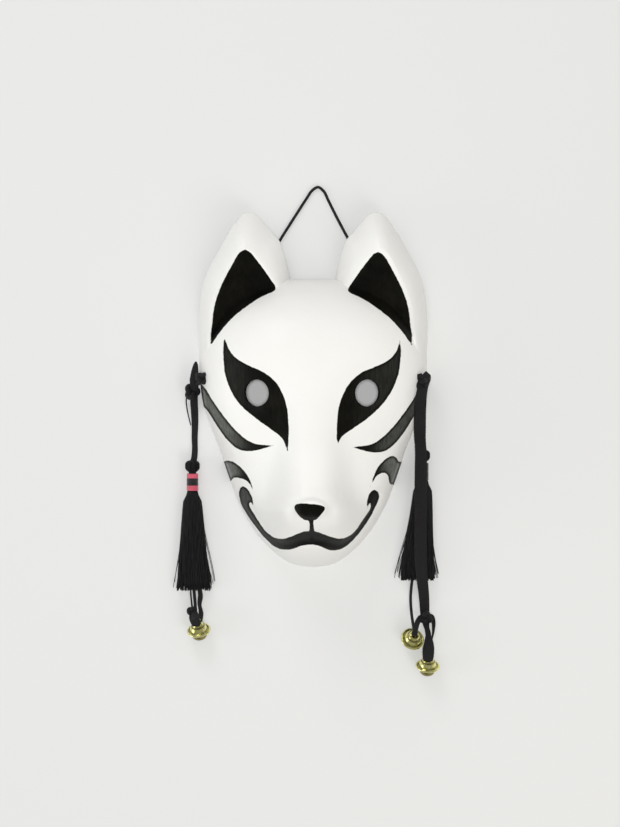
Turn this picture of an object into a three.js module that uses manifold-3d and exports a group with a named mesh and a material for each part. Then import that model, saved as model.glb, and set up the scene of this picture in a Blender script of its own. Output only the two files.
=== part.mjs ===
// Kitsune mask: a moulded fox-face shell lying on its rim, with its cords, tassels and jingle bells beside it.
// Millimetres. +X to the viewer's right, +Y from the chin to the ears, +Z out of the face.
// Heights up the mask are counted from the chin, and moved to the frame's origin by HALF_LENGTH.

import * as THREE from 'three';
import * as BufferGeometryUtils from 'three/addons/utils/BufferGeometryUtils.js';
import Module from 'manifold-3d';

const wasm = await Module();
wasm.setup();

// Driving dimensions of the shell
const MASK_LENGTH = 247;
const MASK_WIDTH = 160;
const HALF_LENGTH = MASK_LENGTH / 2;
const SHELL_WALL = 2.4;
const FACE_HEIGHT = 61;
const FACE_CENTRE_UP = 125;
const RIM_LIFT = 10;
const RIM_LIFT_FROM = 150;
const BELOW_RIM = 8;

// The face is a free form. Its outlines and the places on it are drawn for a mask of this length and width, and are
// stretched to the real length and width; walls, holes, heights and depths keep their own sizes.
const DRAWN_LENGTH = 247;
const DRAWN_WIDTH = 160;

// Half of the face's edge, from the chin round the jaw and temple to the middle of the forehead: [out, up]
const FACE_EDGE = [
  [0, 0], [15.5, 2.6], [29, 12], [40.5, 25], [50.5, 42], [56.2, 56], [61.5, 71], [64.9, 82], [69, 92], [73.5, 104],
  [77, 115], [79.2, 133], [78.8, 148], [74.5, 166], [62, 182.5], [42, 194.5], [20, 200], [0, 201],
];

// Nose: its place up the mask. The muzzle and the mouth are placed from it.
const NOSE_UP = 43.5;

// Muzzle: a ridge down the middle of the lower face, [up from the nose, height over the face, half width]
const MUZZLE = [
  [-49.5, 0, 24], [-40.5, 10, 26], [-35.5, 17, 28], [-29.5, 21, 30], [-23.5, 24, 31], [-18.5, 27, 31],
  [-13.5, 33, 30], [-7.5, 37, 29], [-1.5, 38.5, 28], [6.5, 34, 25], [16.5, 26, 22.5], [36.5, 15, 21],
  [56.5, 6, 19], [81.5, 0, 18], [166.5, 0, 18],
];

// Nose pad, philtrum and mouth
const NOSE_HALF_WIDTH = 10;
const NOSE_HALF_LENGTH = 6.4;
const NOSE_RELIEF = 2.4;
const WING_OUT = 13.5;
const WING_DROP = 3;
const WING_DEPTH = 1.8;
const WING_HALF_WIDTH = 3.5;
const WING_HALF_LENGTH = 5.5;
const PHILTRUM_DEPTH = 1.3;
const PHILTRUM_HALF_WIDTH = 2;
const MOUTH_DEPTH = 2.2;
const MOUTH_HALF_WIDTH = 3;
const MOUTH_LINE = [[0, -23], [8, -23.2], [16, -25.9], [24, -24.5], [31, -17.5], [38, -8.5], [43.5, 0.5], [45.5, 7.5]];

// Eyes: shallow sockets, and round holes cut square to the slanted surface
const EYE_OUT = 37.8;
const EYE_UP = 121.2;
const EYE_HOLE_DIAMETER = 18.4;
const EYE_HOLE_TILT = 24;
const SOCKET_RADIUS = 21;
const SOCKET_DEPTH = 5;

// Ears: a flat front facet with drafted walls that fall back to the rim
const EAR_OUT = 51;
const EAR_UP = 187;
const EAR_FACET_HEIGHT = 23;
const EAR_FACET_LEAN = 0.36;
const EAR_FACET_FROM = 73;
const EAR_FACET_DISH = 1.6;
const EAR_DISH_HALF_WIDTH = 20;
const EAR_DISH_HALF_LENGTH = 30;
const EAR_EDGE = [
  [74, 131], [79.2, 134], [79.8, 150], [80, 170], [78.6, 187], [74.5, 204], [66, 220], [58, 234], [49.5, 245],
  [43.5, 247], [38, 244.5], [28.4, 233.6], [22.8, 226.6], [18.4, 212], [16, 200], [17, 188], [32, 172], [52, 150],
];
const EAR_FACET = [
  [63, 152], [70.2, 152.5], [71, 160], [70, 169], [68.2, 182], [63.6, 195.6], [54.6, 213.2], [49.5, 219.6],
  [44.5, 220.6], [39, 216.6], [33.2, 209], [26.6, 199.4], [23.4, 193], [24, 185], [38, 174], [52, 161],
];

// Cord holes in the sides
const CORD_HOLE_DIAMETER = 5;
const CORD_HOLE_UP = 133;
const CORD_HOLE_HEIGHT = 8;

// Fineness of the shell's faces
const ROWS = 41;
const COLUMNS_EACH_SIDE = 15;
const INNER_ROWS = 26;
const INNER_COLUMNS_EACH_SIDE = 9;
const EAR_SPOKES = 32;
const EAR_INNER_SPOKES = 20;

// Cords and ribbons
const CORD_DIAMETER = 2;
const RIBBON_THICKNESS = 1.4;
const LEFT_RIBBON_WIDTH = 5.4;
const RIGHT_RIBBON_WIDTH = 8.4;
const BELL_CORD_DIAMETER = 2;
const CLEARANCE = 0.3;

// Tassels, lying on their side: [out and up of the head's top, how far the skirt leans out]
const LEFT_TASSEL = [-84, 74.6, 0.6];
const RIGHT_TASSEL = [76.8, 82, -3.8];
const TASSEL_HEAD_DIAMETER = 10.2;
const TASSEL_NECK_DIAMETER = 6;
const TASSEL_SKIRT_WIDTH = 21;
const TASSEL_SKIRT_THICKNESS = 9;
const TASSEL_LENGTH = 90;
const TASSEL_HEAD_LENGTH = 9;
const BINDING_LENGTH = 12.6;
const BINDING_WALL = 0.7;

// Bells: pressed brass, in two halves that meet in a lip. Each lies at [raised, turned, out, up], in degrees and mm.
const LEFT_BELL = [36, -8, -79.5, -45];
const RIGHT_UPPER_BELL = [60, 27, 69.5, -50.8];
const RIGHT_LOWER_BELL = [36, 4, 80, -69.7];
const BELL_DIAMETER = 14;
const BELL_HEIGHT = 13;
const BELL_WALL = 0.7;
const BELL_LIP = 1.3;
const BELL_SLOT_WIDTH = 1.8;
const BELL_EYE_DIAMETER = 3.6;
const BELL_LOOP_HEIGHT = 3.4;
const BELL_LOOP_WIRE = 1.1;
const BELL_SEGMENTS = 12;

const WHITE_LACQUER = new THREE.MeshStandardMaterial({ color: 0xf6f4ee, roughness: 0.3, metalness: 0 });
const BLACK_CORD = new THREE.MeshStandardMaterial({ color: 0x16161a, roughness: 0.7, metalness: 0 });
const TASSEL_THREAD = new THREE.MeshStandardMaterial({ color: 0x141417, roughness: 0.6, metalness: 0 });
const RED_THREAD = new THREE.MeshStandardMaterial({ color: 0xd06a7a, roughness: 0.6, metalness: 0 });
const BELL_BRASS = new THREE.MeshStandardMaterial({ color: 0xb3a664, roughness: 0.3, metalness: 1 });

// Curves and interpolation

function smooth(t) {
  const c = Math.min(1, Math.max(0, t));
  return c * c * (3 - 2 * c);
}

// Value of a [place, value, ...] list at a place, eased between its rows by a cubic through the neighbours' slopes
function along(list, place, column) {
  const last = list.length - 1;
  if (place <= list[0][0]) return list[0][column];
  if (place >= list[last][0]) return list[last][column];
  let i = 0;
  while (list[i + 1][0] < place) i += 1;
  const slope = (k) => {
    const a = list[Math.max(0, k - 1)];
    const b = list[Math.min(last, k + 1)];
    return (b[column] - a[column]) / (b[0] - a[0]);
  };
  const width = list[i + 1][0] - list[i][0];
  const t = (place - list[i][0]) / width;
  const rise = (1 + 2 * t) * (1 - t) * (1 - t) * list[i][column] + t * t * (3 - 2 * t) * list[i + 1][column];
  return rise + width * (t * (1 - t) * (1 - t) * slope(i) - t * t * (1 - t) * slope(i + 1));
}

function curveThrough(points) {
  return new THREE.SplineCurve(points.map(([x, y]) => new THREE.Vector2(x, y)));
}

// Distance from a centre to a closed or half outline, in a direction
function reach(outline, centreOut, centreUp, angle) {
  const c = Math.cos(angle);
  const s = Math.sin(angle);
  for (let i = 0; i + 1 < outline.length; i += 1) {
    const [ax, ay] = [outline[i].x - centreOut, outline[i].y - centreUp];
    const [bx, by] = [outline[i + 1].x - centreOut, outline[i + 1].y - centreUp];
    const da = ax * s - ay * c;
    const db = bx * s - by * c;
    const t = da / (da - db);
    if (da * db <= 0 && da !== db && (ax + t * (bx - ax)) * c + (ay + t * (by - ay)) * s > 0) {
      return Math.hypot(ax + t * (bx - ax), ay + t * (by - ay));
    }
  }
  return 0;
}

// Distance from a point to a line of points
function distanceToLine(line, x, y) {
  let best = Infinity;
  for (let i = 0; i + 1 < line.length; i += 1) {
    const dx = line[i + 1].x - line[i].x;
    const dy = line[i + 1].y - line[i].y;
    const t = Math.min(1, Math.max(0, ((x - line[i].x) * dx + (y - line[i].y) * dy) / (dx * dx + dy * dy)));
    best = Math.min(best, Math.hypot(x - line[i].x - t * dx, y - line[i].y - t * dy));
  }
  return best;
}

// Outlines and places of the face, stretched to the mask's length and width

const outward = (out) => (out * MASK_WIDTH) / DRAWN_WIDTH;
const upward = (up) => (up * MASK_LENGTH) / DRAWN_LENGTH;
const stretched = (outline) => outline.map(([out, up]) => [outward(out), upward(up)]);
const faceCentreUp = upward(FACE_CENTRE_UP);
const rimLiftFrom = upward(RIM_LIFT_FROM);
const noseUp = upward(NOSE_UP);
const eyeOut = outward(EYE_OUT);
const eyeUp = upward(EYE_UP);
const earOut = outward(EAR_OUT);
const earUp = upward(EAR_UP);
const cordHoleUp = upward(CORD_HOLE_UP);
const faceCurve = curveThrough(stretched(FACE_EDGE));
const earEdge = stretched(EAR_EDGE);
const earFacet = stretched(EAR_FACET);
const muzzle = MUZZLE.map(([up, height, halfWidth]) => [upward(up), height, outward(halfWidth)]);

// Heights of the face and of the ears over the rim's plane, at a place [x, up] on the mask

const faceEdge = faceCurve.getPoints(160);
const mouthLine = curveThrough(stretched(MOUTH_LINE).map(([x, y]) => [x, y + noseUp])).getPoints(40);
const mouthUp = mouthLine[0].y;

function rimHeight(up) {
  return RIM_LIFT * smooth((up - rimLiftFrom) / (MASK_LENGTH - rimLiftFrom));
}

function faceHeight(x, up, inset) {
  const out = Math.abs(x);
  const angle = Math.atan2(up - faceCentreUp, out);
  const radius = Math.hypot(out, up - faceCentreUp);
  const share = Math.min(1, radius / (reach(faceEdge, 0, faceCentreUp, angle) - inset));
  const crown = Math.pow(1 - Math.pow(share, 2.3), 0.55);
  const low = rimHeight(up) - inset;
  let z = low + (FACE_HEIGHT - inset - low) * crown;
  const fromNose = up - noseUp - inset * smooth((noseUp + 6 - up) / 12);
  const flank = Math.exp(-Math.pow(out / (along(muzzle, fromNose, 2) - inset), 3));
  z += along(muzzle, fromNose, 1) * flank * Math.pow(1 - Math.pow(share, 10), 0.6);
  const socket = Math.hypot(out - eyeOut, up - eyeUp) / SOCKET_RADIUS;
  z -= SOCKET_DEPTH * Math.exp(-socket * socket);
  const mouth = distanceToLine(mouthLine, out, up) / MOUTH_HALF_WIDTH;
  z -= MOUTH_DEPTH * Math.exp(-mouth * mouth);
  const wing = Math.hypot((out - WING_OUT) / WING_HALF_WIDTH, (up - noseUp + WING_DROP) / WING_HALF_LENGTH);
  z -= WING_DEPTH * Math.exp(-wing * wing);
  if (up > mouthUp && up < noseUp) {
    const ease = smooth((up - mouthUp) / 3) * smooth((noseUp - up) / 6);
    z -= PHILTRUM_DEPTH * ease * Math.exp(-Math.pow(out / PHILTRUM_HALF_WIDTH, 2));
  }
  if (inset === 0) {
    const pad = Math.hypot(out / NOSE_HALF_WIDTH, (up - noseUp) / NOSE_HALF_LENGTH);
    z += NOSE_RELIEF * smooth((1.25 - pad) / 0.45);
  }
  return share >= 1 ? low : z;
}

function earFacetHeight(out, up) {
  const fromCentre = Math.hypot(out, up - faceCentreUp);
  const dish = Math.hypot((out - earOut) / EAR_DISH_HALF_WIDTH, (up - earUp) / EAR_DISH_HALF_LENGTH);
  return EAR_FACET_HEIGHT + EAR_FACET_LEAN * (fromCentre - EAR_FACET_FROM) - EAR_FACET_DISH * Math.exp(-dish * dish);
}

// Solids

function solidFrom(vertices, triangles) {
  const mesh = new wasm.Mesh({
    numProp: 3,
    vertProperties: new Float32Array(vertices),
    triVerts: new Uint32Array(triangles),
  });
  mesh.merge();
  return new wasm.Manifold(mesh);
}

function solidFromGeometry(geometry) {
  const bare = geometry.clone();
  bare.deleteAttribute('normal');
  bare.deleteAttribute('uv');
  const merged = BufferGeometryUtils.mergeVertices(bare, 1e-4);
  return solidFrom(merged.attributes.position.array, merged.index.array);
}

function geometryFrom(solid) {
  const mesh = solid.getMesh();
  const positions = [];
  for (let i = 0; i < mesh.vertProperties.length; i += mesh.numProp) {
    positions.push(mesh.vertProperties[i], mesh.vertProperties[i + 1], mesh.vertProperties[i + 2]);
  }
  const geometry = new THREE.BufferGeometry();
  geometry.setAttribute('position', new THREE.Float32BufferAttribute(positions, 3));
  geometry.setIndex(Array.from(mesh.triVerts));
  geometry.computeVertexNormals();
  return geometry;
}

// Closes a sheet of points given row by row into a solid with a flat bottom. The rows run round or up, and the sheet's
// border drops straight to the bottom.
function standOn(border, top, triangles, bottom) {
  const vertices = top.flat();
  const first = top.length;
  border.forEach((k) => vertices.push(top[k][0], top[k][1], bottom));
  const loop = border.map((k) => new THREE.Vector2(top[k][0], top[k][1]));
  border.forEach((k, i) => {
    const next = (i + 1) % border.length;
    triangles.push(k, first + i, border[next], border[next], first + i, first + next);
  });
  THREE.ShapeUtils.triangulateShape(loop, []).forEach(([a, b, c]) => {
    triangles.push(first + a, first + c, first + b);
  });
  return solidFrom(vertices, triangles);
}

// The face: level rows from the chin to the forehead, close together at the chin, the mouth and the edges
function faceSolid(inset, rows, columns, bottom) {
  const top = [];
  const across = 2 * columns + 1;
  for (let j = 1; j < rows; j += 1) {
    const u = j / rows;
    const place = faceCurve.getPoint(u - 0.055 * Math.sin(2 * Math.PI * u));
    const shrink = 1 - inset / Math.hypot(place.x, place.y - faceCentreUp);
    const halfWidth = place.x * shrink;
    const up = faceCentreUp + (place.y - faceCentreUp) * shrink;
    for (let i = -columns; i <= columns; i += 1) {
      const t = i / columns;
      const x = halfWidth * (t - 0.1 * Math.sin(2 * Math.PI * t));
      const z = Math.abs(i) === columns ? rimHeight(up) - inset : faceHeight(x, up, inset);
      top.push([x, up - HALF_LENGTH, z]);
    }
  }
  const triangles = [];
  for (let j = 0; j < rows - 2; j += 1) {
    for (let i = 0; i < across - 1; i += 1) {
      const k = j * across + i;
      if (i < columns) triangles.push(k, k + 1, k + across + 1, k, k + across + 1, k + across);
      else triangles.push(k, k + 1, k + across, k + 1, k + across + 1, k + across);
    }
  }
  const border = [];
  for (let i = 0; i < across - 1; i += 1) border.push(i);
  for (let j = 0; j < rows - 2; j += 1) border.push(j * across + across - 1);
  for (let i = across - 1; i > 0; i -= 1) border.push((rows - 2) * across + i);
  for (let j = rows - 2; j > 0; j -= 1) border.push(j * across);
  return standOn(border, top, triangles, bottom);
}

// An ear: spokes from the middle of its facet, out over the facet's edge and down the drafted wall to the rim
function earSolid(side, inset, spokes, bottom) {
  const edge = curveThrough([...earEdge, earEdge[0]]).getPoints(180);
  const facet = curveThrough([...earFacet, earFacet[0]]).getPoints(160);
  const shares = inset === 0 ? [0.45, 0.8, 1, 1.1, 1.3, 1.55, 1.8, 2] : [0.6, 1, 1.2, 1.6, 2];
  const top = [[side * earOut, earUp - HALF_LENGTH, earFacetHeight(earOut, earUp) - inset]];
  shares.forEach((share) => {
    for (let k = 0; k < spokes; k += 1) {
      const angle = (2 * Math.PI * k) / spokes;
      const inner = reach(facet, earOut, earUp, angle) - inset / 2;
      const outer = reach(edge, earOut, earUp, angle) - inset;
      const distance = share <= 1 ? share * inner : inner + (share - 1) * (outer - inner);
      const out = earOut + distance * Math.cos(angle);
      const up = earUp + distance * Math.sin(angle);
      const facetOut = earOut + inner * Math.cos(angle);
      const facetUp = earUp + inner * Math.sin(angle);
      let z = earFacetHeight(out, up) - inset;
      if (share > 1) {
        const low = rimHeight(up) - inset;
        const t = 2 - share;
        const wall = 0.4 * t + 0.6 * (1 - (1 - t) * (1 - t));
        z = low + (earFacetHeight(facetOut, facetUp) - inset - low) * wall;
      }
      top.push([side * out, up - HALF_LENGTH, z]);
    }
  });
  const triangles = [];
  const ring = (r, k) => 1 + r * spokes + (k % spokes);
  for (let k = 0; k < spokes; k += 1) {
    triangles.push(0, ring(0, k), ring(0, k + 1));
    for (let r = 0; r + 1 < shares.length; r += 1) {
      triangles.push(ring(r, k), ring(r + 1, k), ring(r + 1, k + 1), ring(r, k), ring(r + 1, k + 1), ring(r, k + 1));
    }
  }
  const border = [];
  for (let k = 0; k < spokes; k += 1) border.push(ring(shares.length - 1, k));
  if (side < 0) {
    border.reverse();
    for (let i = 0; i < triangles.length; i += 3) {
      [triangles[i + 1], triangles[i + 2]] = [triangles[i + 2], triangles[i + 1]];
    }
  }
  return standOn(border, top, triangles, bottom);
}

// Everything under the rim: flat below the jaw and temples, rising gently under the ears so that the cord passes there
function underRim() {
  const shape = new THREE.Shape();
  const depth = 2 * BELOW_RIM;
  shape.moveTo(-depth, -depth);
  shape.lineTo(MASK_LENGTH + depth, -depth);
  const steps = 16;
  for (let i = steps; i >= 0; i -= 1) {
    const up = rimLiftFrom + (i / steps) * (MASK_LENGTH + depth - rimLiftFrom);
    shape.lineTo(up, rimHeight(up));
  }
  shape.lineTo(-depth, 0);
  const width = 4 * earOut;
  const slab = new THREE.ExtrudeGeometry(shape, { depth: width, bevelEnabled: false });
  slab.applyMatrix4(new THREE.Matrix4().set(0, 0, 1, -width / 2, 1, 0, 0, -HALF_LENGTH, 0, 1, 0, 0, 0, 0, 0, 1));
  return solidFromGeometry(slab);
}

function rod(diameter, length, sides) {
  return new THREE.CylinderGeometry(diameter / 2, diameter / 2, length, sides);
}

function eyeHole(side) {
  const hole = rod(EYE_HOLE_DIAMETER, FACE_HEIGHT, 28);
  hole.rotateX(Math.PI / 2);
  hole.rotateY(THREE.MathUtils.degToRad(side * EYE_HOLE_TILT));
  hole.translate(side * eyeOut, eyeUp - HALF_LENGTH, faceHeight(eyeOut, eyeUp, 0));
  return solidFromGeometry(hole);
}

function cordHole(side) {
  const hole = rod(CORD_HOLE_DIAMETER, 20, 12);
  hole.rotateZ(Math.PI / 2);
  hole.translate(side * reach(faceEdge, 0, cordHoleUp, 0), cordHoleUp - HALF_LENGTH, CORD_HOLE_HEIGHT);
  return solidFromGeometry(hole);
}

function maskShell() {
  const outside = faceSolid(0, ROWS, COLUMNS_EACH_SIDE, -BELOW_RIM)
    .add(earSolid(1, 0, EAR_SPOKES, -BELOW_RIM))
    .add(earSolid(-1, 0, EAR_SPOKES, -BELOW_RIM));
  const deeper = -BELOW_RIM - SHELL_WALL;
  const inside = faceSolid(SHELL_WALL, INNER_ROWS, INNER_COLUMNS_EACH_SIDE, deeper)
    .add(earSolid(1, SHELL_WALL, EAR_INNER_SPOKES, deeper))
    .add(earSolid(-1, SHELL_WALL, EAR_INNER_SPOKES, deeper));
  let shell = outside.subtract(inside).subtract(underRim());
  [-1, 1].forEach((side) => {
    shell = shell.subtract(eyeHole(side)).subtract(cordHole(side));
  });
  return geometryFrom(shell);
}

// Cords and ribbons: sections swept along routes chosen by hand, points [x, up, z]

class Route extends THREE.CatmullRomCurve3 {
  constructor(points) {
    super(points.map(([x, up, z]) => new THREE.Vector3(x, up - HALF_LENGTH, z)));
  }

  // Frames whose second direction stays level, so that a flat ribbon lies flat
  computeFrenetFrames(segments) {
    const frames = { tangents: [], normals: [], binormals: [] };
    for (let i = 0; i <= segments; i += 1) {
      const tangent = this.getTangentAt(i / segments);
      const level = tangent.clone().cross(new THREE.Vector3(0, 0, 1)).normalize();
      frames.tangents.push(tangent);
      frames.normals.push(level.clone().cross(tangent));
      frames.binormals.push(level);
    }
    return frames;
  }
}

function sweep(points, width, thickness, steps) {
  const section = new THREE.Shape();
  for (let k = 0; k < 8; k += 1) {
    const angle = Math.PI / 8 + (k * Math.PI) / 4;
    const reachOut = 1 / Math.cos(Math.PI / 8);
    const [h, w] = [(thickness / 2) * Math.cos(angle) * reachOut, (width / 2) * Math.sin(angle) * reachOut];
    if (k === 0) section.moveTo(h, w);
    else section.lineTo(h, w);
  }
  return new THREE.ExtrudeGeometry(section, { steps, bevelEnabled: false, extrudePath: new Route(points) });
}

const LOW = CORD_DIAMETER / 2 + 0.1;
const RIBBON_LOW = RIBBON_THICKNESS / 2 + 0.1;

// The head cord runs from hole to hole inside the shell and out under the lifted rim between the ears
const HEAD_CORD = [
  [-73.5, 133, 6.4], [-71, 139, 2.6], [-65, 152.5, LOW], [-55.2, 171, LOW], [-44.6, 190.5, LOW], [-34.2, 209, LOW],
  [-23.2, 228, LOW], [-13.1, 244, LOW], [-4.4, 257.5, LOW], [0.2, 264, LOW], [3.6, 266, LOW], [6.9, 263.5, LOW],
  [10.5, 256.5, LOW], [17.5, 243, LOW], [25.5, 228, LOW], [35.5, 209.5, LOW], [46, 190.5, LOW], [56.5, 171.5, LOW],
  [66, 153, LOW], [71, 140, 2.6], [73.5, 133, 6.4],
];

const LEFT_RIBBON = [
  [-82.2, 131, 8], [-82.8, 124, 6.2], [-83, 116, 3.6], [-82.7, 108, 1.6], [-82.5, 100, RIBBON_LOW],
  [-82.7, 90, RIBBON_LOW], [-83.1, 82, 1.6], [-83.6, 76.4, 4.2],
];

const RIGHT_RIBBON = [
  [82.3, 133, 12], [79.3, 126, 21], [75.6, 119, 26.6], [74.4, 112, 25.2], [74.3, 105, 20.4], [74.4, 98, 14.8],
  [74.6, 91, 11], [75, 84.5, 11.2], [75.3, 78, 12.2], [75.3, 68, 11.8], [75.2, 57, 10.4], [75.1, 44, 10.3],
  [75, 28, 10.4], [75, 12, 10.4], [75.4, 0, 10.5], [76.4, -10, 10.6], [77.4, -18, 6.6], [78, -25, 2.2],
  [78.4, -33, RIBBON_LOW], [79.2, -40, 2], [80.8, -47, 5], [80.8, -53, 8.2], [80.5, -58.2, 10.6],
];

const LEFT_BELL_CORD = [
  [-83, -16.3, 4], [-82.8, -20, 1.8], [-82.4, -25, 1.3], [-81.9, -30, 4], [-81, -34.6, 9.2],
];

const RIGHT_BELL_CORD = [
  [69.4, -9, 3.4], [68.8, -15, 1.6], [68.4, -21, LOW], [68.6, -28, 1.8], [69.2, -34.6, 5], [70.1, -39.6, 9.6],
  [71, -42.6, 12.4],
];

// Tassels: lofted ovals along the tassel's own line, thick at the head, tied at the neck, spread flat at the skirt

const SKIRT_FROM = TASSEL_HEAD_LENGTH + BINDING_LENGTH;
const SKIRT_LENGTH = TASSEL_LENGTH - SKIRT_FROM;

function tassel(headOut, headUp, skirtOut) {
  const stations = [];
  const neck = TASSEL_NECK_DIAMETER / 2;
  const head = TASSEL_HEAD_DIAMETER / 2;
  [0.02, 0.15, 0.4, 0.7, 0.92].forEach((t) => {
    const bulge = Math.sqrt(Math.max(0, 1 - Math.pow(2 * t - 0.9, 2)));
    stations.push([t * TASSEL_HEAD_LENGTH, Math.max(neck * 0.7, head * bulge), Math.max(neck * 0.7, head * bulge)]);
  });
  stations.push([TASSEL_HEAD_LENGTH, neck, neck]);
  stations.push([SKIRT_FROM, neck, neck]);
  [0.06, 0.18, 0.35, 0.6, 0.85, 1].forEach((t) => {
    const spread = smooth(t / 0.5);
    const wide = neck + 1 + (TASSEL_SKIRT_WIDTH / 2 - neck - 1) * (0.78 * spread + 0.22 * t);
    const thick = neck + 0.6 + (TASSEL_SKIRT_THICKNESS / 2 - neck - 0.6) * spread;
    stations.push([SKIRT_FROM + t * SKIRT_LENGTH, wide, thick]);
  });
  const sides = 14;
  const vertices = [];
  const triangles = [];
  const last = stations.length - 1;
  stations.forEach(([down, wide, thick]) => {
    const sideways = skirtOut * smooth((down - SKIRT_FROM) / SKIRT_LENGTH);
    for (let k = 0; k < sides; k += 1) {
      const angle = (2 * Math.PI * k) / sides;
      const rise = tasselAxisHeight(down) + thick * Math.sin(angle);
      vertices.push(headOut + sideways + wide * Math.cos(angle), headUp - down - HALF_LENGTH, rise);
    }
  });
  const ring = (r, k) => r * sides + (k % sides);
  for (let r = 0; r < last; r += 1) {
    for (let k = 0; k < sides; k += 1) {
      triangles.push(ring(r, k), ring(r, k + 1), ring(r + 1, k), ring(r, k + 1), ring(r + 1, k + 1), ring(r + 1, k));
    }
  }
  for (let k = 1; k + 1 < sides; k += 1) {
    triangles.push(ring(0, 0), ring(0, k + 1), ring(0, k));
    triangles.push(ring(last, 0), ring(last, k), ring(last, k + 1));
  }
  return geometryFrom(solidFrom(vertices, triangles));
}

// The head and the skirt both touch the surface that the tassel lies on, so its axis dips a little towards the skirt
function tasselAxisHeight(down) {
  return TASSEL_HEAD_DIAMETER / 2 + (TASSEL_SKIRT_THICKNESS - TASSEL_HEAD_DIAMETER) / 2 * smooth(down / TASSEL_LENGTH);
}

function tasselBinding(headOut, headUp) {
  const inner = TASSEL_NECK_DIAMETER / 2 + CLEARANCE;
  const outer = inner + BINDING_WALL;
  const half = BINDING_LENGTH / 2 - CLEARANCE;
  const corner = BINDING_WALL / 2;
  const profile = [[inner, -half], [outer - corner, -half], [outer, -half + corner], [outer, half - corner],
    [outer - corner, half], [inner, half], [inner, -half]];
  const geometry = new THREE.LatheGeometry(profile.map(([r, y]) => new THREE.Vector2(r, y)), 14);
  const middle = TASSEL_HEAD_LENGTH + BINDING_LENGTH / 2;
  geometry.translate(headOut, headUp - middle - HALF_LENGTH, tasselAxisHeight(middle));
  return geometry;
}

// A jingle bell about its own Z axis, its loop up and its slot down, with an eye at each end of the slot

function bell() {
  const radius = BELL_DIAMETER / 2;
  const half = BELL_HEIGHT / 2;
  const profile = [];
  const steps = 4;
  for (let i = 0; i <= steps; i += 1) {
    const a = -Math.PI / 2 + (i / steps) * (Math.PI / 2) * 0.94;
    profile.push([radius * Math.cos(a), half * Math.sin(a)]);
  }
  profile.push([radius + BELL_LIP, -0.5], [radius + BELL_LIP, 0.5]);
  for (let i = steps; i >= 0; i -= 1) {
    const a = Math.PI / 2 - (i / steps) * (Math.PI / 2) * 0.94;
    profile.push([radius * Math.cos(a), half * Math.sin(a)]);
  }
  profile[0][0] = 0;
  profile[profile.length - 1][0] = 0;
  const hollow = [];
  const innerSteps = 6;
  for (let i = 0; i <= innerSteps; i += 1) {
    const a = -Math.PI / 2 + (i / innerSteps) * Math.PI;
    hollow.push([(radius - BELL_WALL) * Math.cos(a), (half - BELL_WALL) * Math.sin(a)]);
  }
  hollow[0][0] = 0;
  hollow[innerSteps][0] = 0;
  const turned = (points, sides) => {
    const geometry = new THREE.LatheGeometry(points.map(([r, y]) => new THREE.Vector2(r, y)), sides);
    return solidFromGeometry(geometry.rotateX(Math.PI / 2));
  };
  const slot = new THREE.BoxGeometry(BELL_DIAMETER * 0.72, BELL_SLOT_WIDTH, half);
  slot.translate(0, 0, -half);
  let solid = turned(profile, BELL_SEGMENTS).subtract(turned(hollow, BELL_SEGMENTS)).subtract(solidFromGeometry(slot));
  [-1, 1].forEach((end) => {
    const eye = rod(BELL_EYE_DIAMETER, half, 8);
    eye.rotateX(Math.PI / 2);
    eye.translate(end * BELL_DIAMETER * 0.36, 0, -half);
    solid = solid.subtract(solidFromGeometry(eye));
  });
  const loop = new THREE.TorusGeometry(BELL_LOOP_HEIGHT - BELL_LOOP_WIRE, BELL_LOOP_WIRE / 2, 5, 9);
  loop.rotateX(Math.PI / 2);
  loop.translate(0, 0, half + BELL_LOOP_HEIGHT / 3);
  return geometryFrom(solid.add(solidFromGeometry(loop)));
}

// A bell lies with its loop raised by an angle over the surface and turned from +Y towards +X
function bellAt(raised, turned, x, up) {
  const geometry = bell();
  geometry.rotateX(THREE.MathUtils.degToRad(raised - 90));
  geometry.rotateZ(-THREE.MathUtils.degToRad(turned));
  geometry.translate(x, up - HALF_LENGTH, 0);
  geometry.computeBoundingBox();
  geometry.translate(0, 0, -geometry.boundingBox.min.z);
  return geometry;
}

// The object, piece by piece

const kitsuneMask = new THREE.Group();

function piece(name, geometry, material) {
  const mesh = new THREE.Mesh(geometry, material);
  mesh.name = name;
  kitsuneMask.add(mesh);
}

piece('mask_shell', maskShell(), WHITE_LACQUER);
piece('head_cord', sweep(HEAD_CORD, CORD_DIAMETER, CORD_DIAMETER, 42), BLACK_CORD);
piece('left_ribbon', sweep(LEFT_RIBBON, LEFT_RIBBON_WIDTH, RIBBON_THICKNESS, 6), BLACK_CORD);
piece('left_tassel', tassel(...LEFT_TASSEL), TASSEL_THREAD);
piece('left_tassel_binding', tasselBinding(...LEFT_TASSEL), RED_THREAD);
piece('left_bell_cord', sweep(LEFT_BELL_CORD, BELL_CORD_DIAMETER, BELL_CORD_DIAMETER, 5), BLACK_CORD);
piece('left_bell', bellAt(...LEFT_BELL), BELL_BRASS);
piece('right_ribbon', sweep(RIGHT_RIBBON, RIGHT_RIBBON_WIDTH, RIBBON_THICKNESS, 21), BLACK_CORD);
piece('right_tassel', tassel(...RIGHT_TASSEL), TASSEL_THREAD);
piece('right_tassel_binding', tasselBinding(...RIGHT_TASSEL), RED_THREAD);
piece('right_bell_cord', sweep(RIGHT_BELL_CORD, BELL_CORD_DIAMETER, BELL_CORD_DIAMETER, 6), BLACK_CORD);
piece('right_upper_bell', bellAt(...RIGHT_UPPER_BELL), BELL_BRASS);
piece('right_lower_bell', bellAt(...RIGHT_LOWER_BELL), BELL_BRASS);

export default kitsuneMask;
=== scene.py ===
# A kitsune mask lying face up on a pale floor, its ribbons, tassels and jingle bells laid out beside it,
# seen from straight above with the ears to the top. Places on the mask are given in millimetres as (out
# from the middle, up from the chin, height over the rim); the frame's origin is half way up the mask.
import math
import random

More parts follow.
